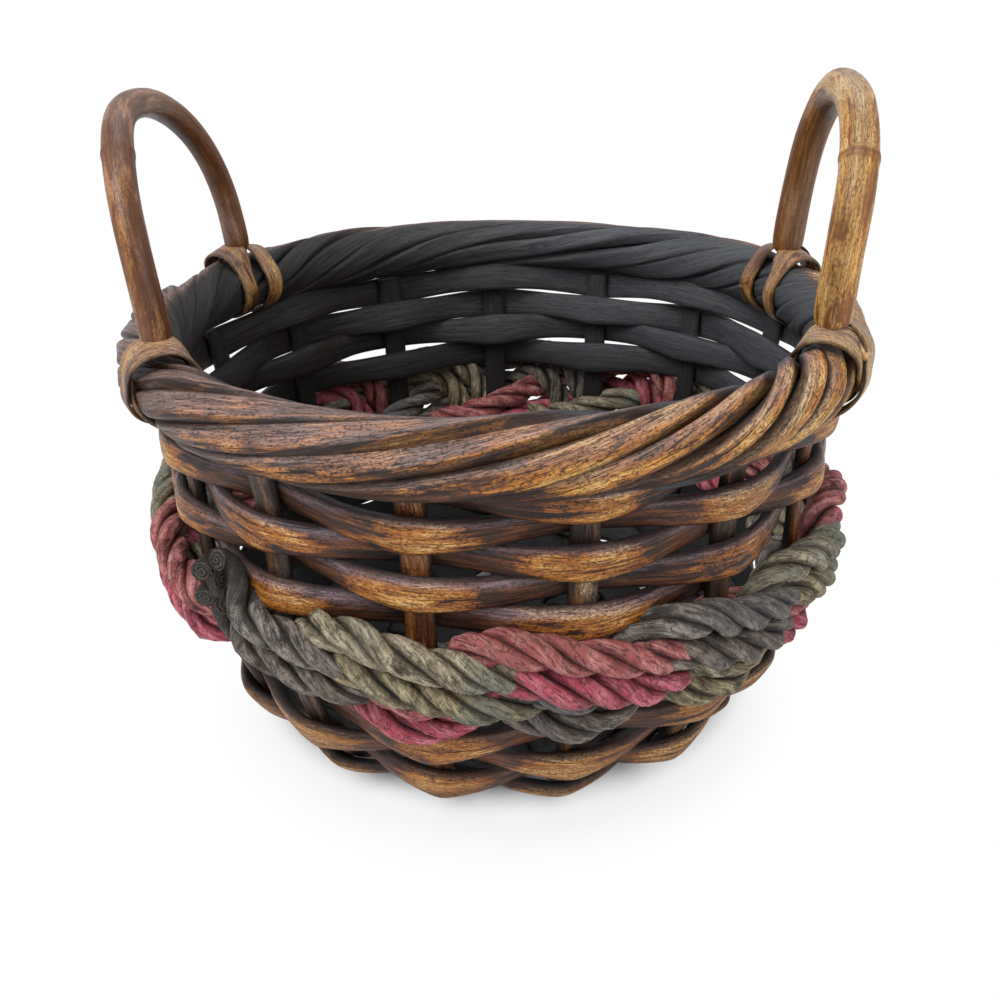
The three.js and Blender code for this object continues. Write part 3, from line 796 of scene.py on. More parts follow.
def weaver_spots(first, last, start_place, start_run, pitch, press, span, seed):
    """The frames from one place of a weaver to another, both counted from its own start."""
    spots = []
    for step in range((last - first) * STEPS_PER_SPACE + 1):
        place = first + step / STEPS_PER_SPACE
        angle = stake_angle(start_place + place)
        back = smooth(*press["back"], math.sin(angle))
        wave = crossing_wave(place)
        run = course_run(place, span, start_run, pitch, press, wave, back)
        run += COURSE_WANDER * wander(seed, place * 0.7)
        radius, height, normal, ahead = wall_at(run)
        out, up = in_plane(angle, normal), in_plane(angle, ahead)
        tilt = 0.16 * wander(seed + 11, place * 0.5) - 0.1 * wave
        tall = (up + out * tilt).normalized()
        across = (out - up * tilt).normalized()
        swing = WEAVER_SWING * wave + SWING_WANDER * wander(seed + 5, place)
        centre = at(angle, radius, height) + out * swing
        spread = WEAVER_SPREAD + press["spread"]
        half_tall = (WEAVER_TALL + (spread - WEAVER_TALL) * wave * wave) / 2
        half_tall *= 1.12 + press["taller"] * back + 0.08 * wander(seed + 3, place * 0.9)
        half_tall *= 1 + press["last_taller"] * smooth(STAKES * 0.8, 0, span - place)
        half_tall *= 1 + press["first_taller"] * back * smooth(STAKES, STAKES - 2, place)
        thick = WEAVER_THICKNESS / 2 * (1 + 0.1 * wander(seed + 9, place * 1.3))
        spots.append(Spot(centre, across, tall, thick, half_tall, smooth(-0.4, 0.9, wave)))
    return spots


def weaver_tone_and_shade(spot, u, w, index):
    """Stained on the outer face, with painted shade where it dives behind a stake, nearly black inside."""
    wave = -math.cos(math.pi * index / STEPS_PER_SPACE)
    # painted shade where the weaver passes behind a stake
    outside = smooth(-0.9, 0.5, wave)
    return smooth(-0.5, 0.35, u) * (0.35 + 0.65 * outside)


print("a weaver swings", round(WEAVER_SWING / MM, 2), "mm in and out")

# %% [markdown]
# ## Joined lengths
# A cane isn't long enough for a whole band, so a band is a few lengths that meet behind a stake,
# where the joint is hidden. Each length has its own seed, so its grain and its wander differ.

# %% The weavers
def joints(span, lengths):
    """Where the lengths of a weaver meet: always inside, behind an even stake."""
    return [2 * round(span * length / lengths / 2) for length in range(lengths + 1)]


def make_weave(name, span, lengths, start_place, start_run, pitch, press, finish):
    ends = joints(span, lengths)
    for length in range(lengths):
        bm = new_bmesh()
        spots = weaver_spots(ends[length], ends[length + 1], start_place, start_run, pitch, press,
                             span, length * 13 + span)
        sweep(bm, spots, section(20, 2.9), seed=0.07 * length + span * 0.01, tone=weaver_tone_and_shade)
        node = f"{name}_{length + 1}"
        piece("visual_" + node, bm, finish, [node])


make_weave("weaver_upper", UPPER_SPAN, 4, -1, UPPER_START, UPPER_PITCH, UPPER_PRESS, weaver_finish)
make_weave("weaver_lower", LOWER_SPAN, 3, -2, LOWER_START, LOWER_PITCH, LOWER_PRESS,
           low_weaver_finish)
print("weavers made, so", len(pieces), "pieces so far")

# %% [markdown]
# ## Plaited band
# Three strands, each a pair of cords, are plaited round the stakes. A strand swings up and down,
# one third of a period behind the next one, and it goes in front of two stakes and behind the third.
# It climbs fast behind the others and comes down slowly in front of them, which a sine can't do. So
# both paths, in and out and up and down, are a row of shares with a smooth closed curve through them.

# %% The plait's shares
SWAY_SHARES = [1.1, 1.8, 2.1, 2.1, 1.9, 1.1, -0.4, -1.1, -1.0, 0.2, 1.4, 1.2]
RISE_SHARES = [1.15, 1.5, 1.1, 0.7, 0.3, -0.05, -0.4, -0.75, -1.05, -1.25, -1.35, -1.15]
PLAIT_PERIOD = 3
PLAIT_LAG = 0.63


def round_curve(shares, phase):
    """A closed smooth curve through some shares of one turn."""
    count = len(shares)
    spot = (phase / TURN * count) % count
    index = int(spot)
    share = spot - index
    before, here, after, later = [shares[(index + step) % count] for step in (-1, 0, 1, 2)]
    curve = (2 * here + (after - before) * share
             + (2 * before - 5 * here + 4 * after - later) * share ** 2
             + (3 * here - before - 3 * after + later) * share ** 3)
    return curve / 2


print("the rise goes from", min(RISE_SHARES), "to", max(RISE_SHARES), "swings")

# %% [markdown]
# ## A cord's centre line
# The two cords of a pair stay side by side, square to the way the strand runs, so they part less in
# height where it is steep. A strand's ends are tucked in behind the next one, apart from the grey
# one's start. Those cut ends stand out of the weave at the left front, turned towards the viewer.

# %% The cords' paths
STRAND_STARTS = (-1.97, -2.42, -1.9)
CUT_SPACE = 17 * MM / BELLY_RADIUS / SPACE
STEPS_PER_CORD_SPACE = 24
PLAIT_REACH = STAKE_THICKNESS / 2 + GAP + CORD_RADIUS
SWAY_REACH = 0.8 * PLAIT_REACH
SWAY_WANDER = 0.5 * MM
SWING_IN_FRONT = 8 * MM
MORE_SWING_BEHIND = 3 * MM
PLAIT_MIDDLE = PLAIT_RUN + 10 * MM
LESS_LIFT_BEHIND = 1 * MM
MIDDLE_WANDER = 0.8 * MM
PAIR_SPREAD = 5.8 * MM
END_LENGTH = 18 * MM
END_LIFT = 15 * MM
END_OUT, END_IN = 6 * MM, -5 * MM
END_TURN = 6 * MM
END_BEND = 2.2
BURNT_LENGTHS = (5 * MM, 22 * MM)
PROBE = 0.02


def turned_out(from_end):
    """How far a cut end slips back and lifts off the basket as it turns towards the viewer."""
    turned = max(END_TURN * END_BEND - from_end, 0)
    return turned - END_TURN * math.sin(turned / END_TURN), END_TURN * (1 - math.cos(turned / END_TURN))


def cord_path(order, side):
    """Centre line of one cord, the outward direction at its points, and how near its ends they are."""
    centres, hints, marks = [], [], []
    span = STAKES - CUT_SPACE
    count = int(span * STEPS_PER_CORD_SPACE)
    for step in range(count + 1):
        place = STRAND_STARTS[order] + span * step / count
        from_end = min(step, count - step) / count * span * SPACE * BELLY_RADIUS
        shown = order == 1 and step < count / 2
        slip, lifted = turned_out(from_end) if shown else (0, 0)
        phase = TURN * (place + PLAIT_LAG - order) / PLAIT_PERIOD
        behind = smooth(-0.4, 0.4, math.sin(stake_angle(place)))
        swing = SWING_IN_FRONT + MORE_SWING_BEHIND * behind
        rise = round_curve(RISE_SHARES, phase)
        slope = round_curve(RISE_SHARES, phase + PROBE) - round_curve(RISE_SHARES, phase - PROBE)
        slope /= 2 * PROBE
        pitch = math.atan(swing * slope * TURN / PLAIT_PERIOD / (BELLY_RADIUS * SPACE))
        loose = 1 - smooth(0, END_LENGTH, from_end)
        run = PLAIT_MIDDLE - LESS_LIFT_BEHIND * behind
        run += MIDDLE_WANDER * wander(order * 3 + 50, place * 0.8) + swing * rise * (1 - 0.2 * loose)
        run += side * PAIR_SPREAD * math.cos(pitch) * (1 - 0.25 * loose)
        if shown:
            run += END_LIFT * loose
        spot_radius, height, normal, ahead = wall_at(run)
        angle = stake_angle(place) - side * PAIR_SPREAD * math.sin(pitch) / spot_radius + slip / spot_radius
        out = in_plane(angle, normal)
        sway = SWAY_REACH * round_curve(SWAY_SHARES, phase)
        sway += SWAY_WANDER * wander(order * 5 + side, place * 0.9)
        sway = sway * (1 - loose) + (END_OUT if shown else END_IN) * loose
        centres.append(at(angle, spot_radius, height) + out * (sway + lifted))
        hints.append(out)
        marks.append(0.9 * (1 - smooth(*BURNT_LENGTHS, from_end)) if shown else 0.0)
    return centres, hints, marks


first_cord = cord_path(0, 1)[0]
cord_length = sum((after - before).length for before, after in zip(first_cord, first_cord[1:]))
print("one cord is", round(cord_length, 2), "m long")

# %% [markdown]
# ## Laid cord
# Each cord is three plies that wind round its centre line, as in a rope. One ply is a sweep whose
# centre circles the cord's centre. The plies are a little too thick for their circle, so they press
# into each other and only their crests stand out. The frames that they circle in are carried along
# the path without twisting, so that only the lay turns them.

# %% The plies
LAY = 46 * MM
PLIES = 3
CORD_HALF = 6.2 * MM
PLY_RADIUS = 3.15 * MM
PLY_SQUEEZE = 0.96


def carried(centres, hint):
    """Frames that are carried along a path without twisting, from one first direction."""
    frames = []
    for index, centre in enumerate(centres):
        ahead = centres[min(index + 1, len(centres) - 1)] - centres[max(index - 1, 0)]
        ahead.normalize()
        hint = (hint - ahead * hint.dot(ahead)).normalized()
        frames.append(Spot(centre, hint, ahead.cross(hint), 1, 1))
    return frames


def ply_spots(centres, hint, marks, ply, seed):
    """One ply: its centre circles the cord's centre line, and its ring is squeezed sideways."""
    frames = carried(centres, hint)
    run = 0.0
    points, aways, halves = [], [], []
    for index, frame_spot in enumerate(frames):
        if index:
            run += (centres[index] - centres[index - 1]).length
        turn = TURN * (run / LAY + ply / PLIES) + 0.3 * wander(seed, run * 40)
        away = frame_spot.across * math.cos(turn) + frame_spot.tall * math.sin(turn)
        reach = (CORD_HALF - PLY_RADIUS) * (1 + 0.1 * wander(seed + ply, run * 60) + 0.4 * marks[index])
        points.append(centres[index] + away * reach)
        aways.append(away)
        fat = (1 + 0.1 * wander(seed + ply * 3, run * 90)) * (1 + 0.15 * marks[index])
        squeeze = PLY_SQUEEZE + (1 - PLY_SQUEEZE) * marks[index]
        halves.append((PLY_RADIUS * fat, PLY_RADIUS * squeeze * fat))
    spots = along(points, aways, halves)
    for spot, mark in zip(spots, marks):
        spot.mark = mark
    return spots


def ply_tone(spot, u, w, index):
    """Dark where a ply turns in towards the others."""
    return smooth(-0.45, 0.4, u)


print("a cord makes", round(cord_length / LAY, 1), "turns of its plies")

# %% [markdown]
# ## The six cords
# The plies of a cord are swept into one bmesh, because the cord is one piece of the basket. Dye
# never takes quite alike, so the upper and the lower cord of a strand differ a little in colour.

# %% The cords
STRANDS = [("crimson", rose_finish, crimson_finish), ("grey", slate_finish, grey_finish),
           ("olive", olive_finish, moss_finish)]
for order, (colour, upper_paper, lower_paper) in enumerate(STRANDS):
    for side, word, finish in ((1, "upper", upper_paper), (-1, "lower", lower_paper)):
        bm = new_bmesh()
        centres, hints, marks = cord_path(order, side)
        seed = order * 20 + (side + 1) * 5
        for ply in range(PLIES):
            spots = ply_spots(centres, hints[0], marks, ply, seed)
            sweep(bm, spots, section(14, 2.2), seed=ply * 0.03 + order, tone=ply_tone)
        node = f"cord_{colour}_{word}"
        piece("visual_" + node, bm, finish, [node])
print("cords made, so", len(pieces), "pieces so far")

# %% [markdown]
# ## Rolled border
# Fifteen canes start one stake apart and roll twice round a hoop, nine stake spaces long each, so
# nine of them lie side by side everywhere. They roll slowly at the left front and at the back, and
# faster at the sides, so their pace is two waves round the rim. The outer canes look broader than
# the inner ones, and the handles' lashings pinch the roll.

# %% The roll's turns
CANE_SPAN = 9
ROLL_TURN = TURN * 2 / CANE_SPAN
ROLL_START = TURN / 8
ROLL_SWING = 0.38
ROLL_PACE = [(0.3, 1, math.radians(20)), (0.5, 2, math.radians(30))]
RIGHT_HANDLE = {"facing": stake_angle(3), "half_angle": SPACE, "thickness": 12 * MM, "rise": 63.5 * MM,
                "lean": 6 * MM, "nod": 0.0, "square": 0.8}
LEFT_HANDLE = {"facing": stake_angle(10.75), "half_angle": 1.25 * SPACE, "thickness": 10 * MM,
               "rise": 63 * MM, "lean": 8.5 * MM, "nod": 6.5 * MM, "square": 0.88}
FEET = [handle["facing"] + end * handle["half_angle"]
        for handle in (RIGHT_HANDLE, LEFT_HANDLE) for end in (-1, 1)]


def pinch(angle):
    """How far the roll is drawn in near a handle's foot."""
    nearest = min(abs(math.remainder(angle - foot, TURN)) for foot in FEET)
    return 1 - 0.14 * (1 - smooth(0.02, 0.15, nearest)) + 0.05 * math.exp(-((nearest - 0.17) / 0.06) ** 2)


def rim_tone(spot, u, w, index):
    """Stained where the roll faces out and up, nearly black where it turns in."""
    point = spot.centre + spot.across * u * spot.half_across + spot.tall * w * spot.half_tall
    angle = math.atan2(point.z - RIM_HEIGHT, point.to_2d().length - RIM_RADIUS)
    facing = math.cos(angle - math.radians(25))
    back = 0.3 * smooth(-0.02, 0.06, point.y)
    return smooth(-0.2 + back, 0.65 + back, facing)


def rolled(turn, angle):
    """Turns the even roll into one with broad canes on the side that faces out or up, and its rate."""
    broad_side = math.radians(90) + math.radians(70) * math.sin(angle)
    return turn + ROLL_SWING * math.sin(turn - broad_side), 1 + ROLL_SWING * math.cos(turn - broad_side)


print("the handles' feet stand at", [round(math.degrees(foot)) for foot in FEET], "degrees")

# %% [markdown]
# ## The border's canes
# A cane lies on the roll with its flat face outwards, leans a little to one side or the other, and
# stands a little proud of its neighbours or sinks between them. Its wide direction is square to its
# own way round and along the roll, or it would shear. At the right front the canes are slimmer.

# %% The border
CANE_STEPS_PER_SPACE = 16
CANE_HALF_THICK, CANE_HALF_WIDE = 3.0 * MM, 3.3 * MM
PROUD_WANDER = 1.1 * MM
CANE_SUNK = 0.3 * MM
SLIM_AT, SLIM_WIDTH = math.radians(-48), 0.5
HOOP_RADIUS = 4.4 * MM
HOOP_STEPS = 120


def border_spots(cane):
    spots = []
    steps = CANE_SPAN * CANE_STEPS_PER_SPACE
    for step in range(steps + 1):
        place = CANE_SPAN * step / steps
        angle = stake_angle(cane + place)
        squeeze = pinch(angle)
        even_turn = ROLL_TURN * place - ROLL_START + 0.1 * wander(cane, place * 0.6)
        pace = ROLL_TURN / SPACE
        even_turn += pace * sum(a / n * math.sin(n * angle + start) for a, n, start in ROLL_PACE)
        round_angle, rate = rolled(even_turn, angle)
        proud = PROUD_WANDER * wander(cane + 30, place * 0.55) * smooth(0.8, 1.0, squeeze) - CANE_SUNK
        reach = (ROLL_RADIUS - CANE_HALF_THICK + proud) * squeeze
        turn = round_angle + 0.34 * wander(cane + 80, place * 0.5)
        out = in_plane(angle, Vector((math.cos(round_angle), math.sin(round_angle))))
        face = in_plane(angle, Vector((math.cos(turn), math.sin(turn))))
        around = in_plane(angle, Vector((-math.sin(turn), math.cos(turn))))
        pace *= 1 + sum(a * math.cos(n * angle + start) for a, n, start in ROLL_PACE)
        slope = pace * rate * reach / RIM_RADIUS
        wide = (around - sideways(angle) * slope).normalized()
        centre = at(angle, RIM_RADIUS, RIM_HEIGHT) + out * reach
        ends = min(smooth(-0.01, 0.5, place), smooth(-0.01, 0.5, CANE_SPAN - place))
        slim = 0.2 * math.exp(-(math.remainder(angle - SLIM_AT, TURN) / SLIM_WIDTH) ** 2)
        fat = (0.72 + 0.28 * ends) * (0.98 - slim + 0.14 * wander(cane + 60, place * 0.7))
        fat *= rate * (0.3 + 0.7 * squeeze)
        spots.append(Spot(centre, face, wide, CANE_HALF_THICK * (0.7 + 0.3 * ends), CANE_HALF_WIDE * fat))
    return spots


def hoop_spots(radius, height, half_across, half_tall):
    """The frames of a closed hoop that lies level."""
    return [Spot(at(TURN * step / HOOP_STEPS, radius, height), outward(TURN * step / HOOP_STEPS),
                 Vector((0, 0, 1)), half_across, half_tall) for step in range(HOOP_STEPS)]


for cane in range(STAKES):
    bm = new_bmesh()
    sweep(bm, border_spots(cane), section(20, 4), seed=cane * 0.06, tone=rim_tone)
    name = f"border_cane_{cane + 1:02d}"
    piece("visual_" + name, bm, rim_finish, [name])

bm = new_bmesh()
sweep(bm, hoop_spots(RIM_RADIUS, RIM_HEIGHT, HOOP_RADIUS, HOOP_RADIUS), section(12),
      tone=lambda spot, u, w, index: 0.0, looped=True)
piece("visual_border_hoop", bm, rim_finish, ["border_hoop"])
print("border made, so", len(pieces), "pieces so far")

# %% [markdown]
# ## Ear handles
# A handle is one cane bent to an arch. Its ends are shaved to thin tongues that lie over the roll
# and down its outer side. The arch and the tongues are one sweep. Only its few controls are worked
# out here: an arch that is a little squarer than a half circle, leaning outwards, and four spots
# for each tongue.

# %% The handles' controls
ROLL_SAG = RIM_RADIUS * (1 - math.cos(SPACE / 4))
ROLL_CENTRE = RIM_RADIUS - ROLL_SAG / 2
ROLL_REACH = ROLL_RADIUS + ROLL_SAG / 2 + GAP
TONGUE_WIDTH, TONGUE_THICKNESS = 7 * MM, 2.4 * MM
TONGUE_ROUNDS = [math.radians(value) for value in (75, 52.5, 30)]
SCARF_SHARE = 0.55
ARCH_STEPS = 16


def tongue_spots(angle, hand, leg_half, foot_height):
    side = sideways(angle) * hand
    reach = ROLL_REACH + TONGUE_THICKNESS / 2
    stops = [(ROLL_CENTRE + reach * math.cos(turn), RIM_HEIGHT + reach * math.sin(turn), turn,
              TONGUE_THICKNESS / 2, TONGUE_WIDTH / 2) for turn in TONGUE_ROUNDS]
    leg = (RIM_RADIUS, foot_height, 0.0, leg_half, leg_half)
    scarf = tuple(a + (b - a) * SCARF_SHARE for a, b in zip(leg, stops[0]))
    spots = []
    for radius, height, turn, half, wide in [scarf] + stops:
        normal = in_plane(angle, Vector((math.cos(turn), math.sin(turn))))
        spots.append(Spot(at(angle, radius, height), normal, side, half, wide))
    return spots


def handle_controls(handle):
    facing, half_angle, rise = handle["facing"], handle["half_angle"], handle["rise"]
    half = handle["thickness"] / 2
    foot_height = RIM_HEIGHT + ROLL_REACH + half
    arch = []
    for step in range(ARCH_STEPS + 1):
        turn = math.pi * step / ARCH_STEPS
        lift = math.sin(turn) ** handle["square"]
        across = -math.copysign(abs(math.cos(turn)) ** handle["square"], math.cos(turn))
        out = RIM_RADIUS * math.cos(half_angle) + handle["lean"] * lift ** 1.3 + handle["nod"] * lift ** 4
        arch.append(outward(facing) * out + sideways(facing) * RIM_RADIUS * math.sin(half_angle) * across
                    + Vector((0, 0, foot_height + rise * lift)))
    spots = []
    for index, centre in enumerate(arch):
        if index in (0, ARCH_STEPS):
            ahead = Vector((0, 0, 1 if index == 0 else -1))
        else:
            ahead = (arch[index + 1] - arch[index - 1]).normalized()
        out = Vector((centre.x, centre.y, 0)).normalized()
        out = (out - ahead * out.dot(ahead)).normalized()
        spots.append(Spot(centre, out, ahead.cross(out), half, half))
    first = tongue_spots(facing - half_angle, 1, half, foot_height)
    second = tongue_spots(facing + half_angle, -1, half, foot_height)
    return first[::-1] + spots + second


print("a handle has", len(handle_controls(RIGHT_HANDLE)), "controls")

# %% [markdown]
# ## The handles' canes
# The controls are joined by a smooth curve through each of their numbers, sizes too, so the cane
# narrows evenly to its tongues. A knuckle of the cane is a slight swelling with a thin dark ring.
# The leg that stands further back gets painted shade, so its tone falls along the arch.

# %% The handles
KNUCKLE_SWELL = 0.07
LEG_WANDER = 0.4 * MM
REFINE_STEPS = 8


def refined(spots, steps):
    """A smooth curve through the spots, worked out for each of their numbers."""
    def pick(name, index):
        return getattr(spots[min(max(index, 0), len(spots) - 1)], name)

    made = []
    for index in range(len(spots) - 1):
        for step in range(steps):
            t = step / steps
            values = {}
            for name in ("centre", "across", "tall", "half_across", "half_tall"):
                a, b, c, d = [pick(name, index + shift) for shift in (-1, 0, 1, 2)]
                values[name] = (b * 2 + (c - a) * t + (a * 2 - b * 5 + c * 4 - d) * t ** 2
                                + (b * 3 - a - c * 3 + d) * t ** 3) * 0.5
            ahead = values["across"].cross(values["tall"]).normalized()
            values["across"].normalize()
            values["tall"] = ahead.cross(values["across"]).normalized()
            made.append(Spot(**values))
    made.append(spots[-1])
    return made


def make_handle(name, handle, finish, knuckle, back_leg_shade):
    """knuckle is a share of the way along. The last argument says where the painted shade on the back leg
    begins and ends, and how deep it is.
    """
    facing = handle["facing"]
    spots = refined(handle_controls(handle), REFINE_STEPS)
    total = len(spots)
    for index, spot in enumerate(spots):
        share = index / total
        swell = 1 + 0.02 * wander(facing + 3, share * 14)
        swell += KNUCKLE_SWELL * math.exp(-((share - knuckle) / 0.006) ** 2)
        spot.half_across *= swell
        spot.half_tall *= swell
        spot.centre += spot.across * LEG_WANDER * wander(facing + 8, share * 8)

    def leg_tone(spot, u, w, index):
        share = index / total
        # painted shade darkens the leg that stands further back
        out_of_shade = 1 - back_leg_shade[2] * smooth(back_leg_shade[0], back_leg_shade[1], share)
        return out_of_shade * (1 - 0.9 * math.exp(-(abs(share - knuckle) / 0.004) ** 2))

    bm = new_bmesh()
    sweep(bm, spots, section(24), seed=facing, tone=leg_tone)
    piece("visual_" + name, bm, finish, [name])


make_handle("handle_right", RIGHT_HANDLE, golden_finish, 0.325, (0.52, 0.68, 0.72))
make_handle("handle_left", LEFT_HANDLE, handle_finish, 0.63, (0.48, 0.36, 0.55))
print("handles made, so", len(pieces), "pieces so far")

# %% [markdown]
# ## Lashings
# A strip of cane peel goes twice round the border, past each side of the leg, and crosses itself on
# the outer side over the tongue. Its path is a closed loop round the roll that shifts sideways. Over
# the top it stands off the roll, grows wider and leans in, because it has to climb the leg's foot.

# %% The lashings
LASH_STEPS = 160
LASH_WIDTH, LASH_THICKNESS = 10 * MM, 1.4 * MM
LASH_CLEAR = 0.8 * MM
LASH_CLIMB = 4.2 * MM
LASH_LEAN = 0.35


def lash_spots(angle, leg_thickness):
    """Two turns round the roll: over the top they hug the leg, and they cross on the outer side."""
    half_spread = leg_thickness / 2 + LASH_WIDTH * 0.36
    spots = []
    for step in range(LASH_STEPS):
        turn = 2 * TURN * step / LASH_STEPS
        round_angle = TURN / 2 - turn
        layer = (LASH_THICKNESS + GAP) * max(math.sin(turn / 2), 0) ** 2
        spread = half_spread * math.cos(turn / 2)
        slip = half_spread / 2 * math.sin(turn / 2)
        here = angle + spread / RIM_RADIUS
        over_top = smooth(0.2, 1.0, math.sin(round_angle)) * smooth(-0.9, -0.1, math.cos(round_angle))
        reach = ROLL_RADIUS * pinch(here) + LASH_CLEAR + layer + over_top * LASH_CLIMB
        normal = in_plane(here, Vector((math.cos(round_angle), math.sin(round_angle))))
        lean = over_top * math.copysign(LASH_LEAN, spread) * abs(math.cos(turn / 2))
        normal = (normal + sideways(here) * lean).normalized()
        forward = in_plane(here, Vector((math.sin(round_angle), -math.cos(round_angle))))
        wide = forward * slip + sideways(here) * reach
        wide = (wide - normal * wide.dot(normal)).normalized()
        centre = at(here, RIM_RADIUS + reach * math.cos(round_angle),
                    RIM_HEIGHT + reach * math.sin(round_angle))
        wide_half = LASH_WIDTH / 2 * (0.86 + 0.36 * over_top)
        spots.append(Spot(centre, normal, wide, LASH_THICKNESS / 2, wide_half))
    return spots


LASHINGS = [("lashing_right_front", FEET[0], RIGHT_HANDLE, pale_peel_finish),
            ("lashing_right_back", FEET[1], RIGHT_HANDLE, peel_finish),
            ("lashing_left_back", FEET[2], LEFT_HANDLE, peel_finish),
            ("lashing_left_front", FEET[3], LEFT_HANDLE, peel_finish)]
for name, angle, handle, finish in LASHINGS:
    bm = new_bmesh()
    sweep(bm, lash_spots(angle, handle["thickness"]), section(20, 4), seed=angle, looped=True)
    piece("visual_" + name, bm, finish, [name])
print("lashings made, so", len(pieces), "pieces so far")

# %% [markdown]
# ## Floor
# The floor can't be seen from the front, so it is a plain one of the same craft: a turned hub with
# a groove, a flat strip woven round the stakes, and a hoop that the basket stands on. The strip's
# last course is wide enough to reach the wall, so that no light shows between the two.

# %% The floor's weave
FLOOR_STEPS_PER_SPACE = 12
WALL_LAP = 2 * MM
HUB_RADIUS = 32 * MM
FLOOR_WEAVER = 3 * MM
FLOOR_SPAN = 44
FLOOR_GAP = 0.4 * MM
floor_turns = FLOOR_SPAN / STAKES
floor_width = (FLOOR_RADIUS - HUB_RADIUS - GAP - FLOOR_GAP * floor_turns) / (1 + floor_turns)


def floor_spots(first, last, seed):
    spots = []
    swing = STAKE_THICKNESS / 2 + GAP + FLOOR_WEAVER / 2
    for step in range((last - first) * FLOOR_STEPS_PER_SPACE + 1):
        place = first + step / FLOOR_STEPS_PER_SPACE
        radius = HUB_RADIUS + GAP + floor_width / 2 + (floor_width + FLOOR_GAP) * place / STAKES
        missing = max(FLOOR_RADIUS + WALL_LAP - radius - floor_width / 2, 0)
        missing *= smooth(FLOOR_SPAN - STAKES - 1, FLOOR_SPAN - STAKES + 1, place)
        half_width = floor_width / 2 * (0.97 + 0.02 * wander(seed, place)) + missing / 2
        angle = stake_angle(place)
        wave = -math.cos(math.pi * place)
        wave = math.copysign(abs(wave) ** 0.7, wave)
        centre = at(angle, radius + missing / 2, FLOOR_HEIGHT + swing * wave)
        spots.append(Spot(centre, Vector((0, 0, 1)), outward(angle), FLOOR_WEAVER / 2, half_width))
    return spots


ends = joints(FLOOR_SPAN, 2)
for length, (first, last) in enumerate(zip(ends, ends[1:])):
    bm = new_bmesh()
    sweep(bm, floor_spots(first, last, length), section(16, 3.5), seed=length * 0.1,
          tone=lambda spot, u, w, index: 1 - smooth(-0.5, 0.5, u))
    name = f"floor_weaver_{length + 1}"
    piece("visual_" + name, bm, floor_finish, [name])
print("a floor course is", round(floor_width / MM, 1), "mm wide")

# %% [markdown]
# ## Hub and foot hoop
# The hub is a turned disc, so its outline is drawn as a short line of vertices and spun round the
# axis. The spin leaves its faces in an order that differs from run to run, so they are put in order
# from the lowest up, and round the axis. The foot hoop is a sweep like the canes, nearly square in
# section, with rounded corners.

# %% The hub and the foot hoop
HUB_BASE = 6.3 * MM
HUB_TOP = 2 * FLOOR_HEIGHT - HUB_BASE
HUB_EDGE = 1.2 * MM
HUB_STEPS = 96
WELD = 0.01 * MM
GROOVE_HALF = STAKE_THICKNESS / 2 + GAP
GROOVE_RADIUS = HUB_RADIUS - 10 * MM
FOOT_RADIUS, FOOT_HALF_WIDE, FOOT_HALF_TALL = 66 * MM, 6 * MM, 3 * MM


def upwards_and_round(face):
    """A number that rises with a face's height, by more than a turn per millimetre, and its angle."""
    centre = face.calc_center_median()
    return centre.z / MM * 2 * TURN + math.atan2(centre.y, centre.x)


bm = new_bmesh()
outline = [(0, HUB_BASE), (HUB_RADIUS - HUB_EDGE, HUB_BASE), (HUB_RADIUS, HUB_BASE + HUB_EDGE),
           (HUB_RADIUS, FLOOR_HEIGHT - GROOVE_HALF), (GROOVE_RADIUS, FLOOR_HEIGHT - GROOVE_HALF),
           (GROOVE_RADIUS, FLOOR_HEIGHT + GROOVE_HALF), (HUB_RADIUS, FLOOR_HEIGHT + GROOVE_HALF),
           (HUB_RADIUS, HUB_TOP - HUB_EDGE), (HUB_RADIUS - HUB_EDGE, HUB_TOP), (0, HUB_TOP)]
verts = [bm.verts.new((radius, 0, height)) for radius, height in outline]
edges = [bm.edges.new(pair) for pair in zip(verts, verts[1:])]
bmesh.ops.spin(bm, geom=verts + edges, cent=(0, 0, 0), axis=(0, 0, 1), angle=TURN, steps=HUB_STEPS,
               use_merge=True)
bmesh.ops.remove_doubles(bm, verts=bm.verts, dist=WELD)
bm.faces.sort(key=upwards_and_round)
straight_layer = bm.verts.layers.float_vector["straight"]
for vertex in bm.verts:
    vertex[straight_layer] = (vertex.co.z, vertex.co.x, vertex.co.y)
piece("visual_floor_hub", bm, hub_finish, ["floor_hub"])

bm = new_bmesh()
sweep(bm, hoop_spots(FOOT_RADIUS, FOOT_HALF_TALL, FOOT_HALF_WIDE, FOOT_HALF_TALL), section(20, 4),
      looped=True)
piece("visual_foot_hoop", bm, floor_finish, ["foot_hoop"])
print("floor made, so", len(pieces), "pieces in all")

# %% [markdown]
# ## White ground
# The basket stands on a plain disc. It is wide, so that its edge lies far behind the basket, and it
# lights the basket's underside. It belongs to the stage and isn't a piece of the basket.

# %% The ground
GROUND_RADIUS = 4
bm = bmesh.new()
bmesh.ops.create_circle(bm, cap_ends=True, segments=64, radius=GROUND_RADIUS)
mesh = bpy.data.meshes.new("stage_floor")
bm.to_mesh(mesh)
bm.free()
ground = bpy.data.objects.new("stage_floor", mesh)
bpy.context.scene.collection.objects.link(ground)
print("ground is", 2 * GROUND_RADIUS, "m wide")

# %% [markdown]
# ## The ground's white
# The photograph's background is white, with a soft shadow at the basket's foot. A white ground alone
# would look grey farther off. So next to the basket the camera sees the ground as it is lit, with
# its shadow, and farther off it sees an even white. The lit patch reaches a little farther behind the
# basket than in front, and it has a soft edge.

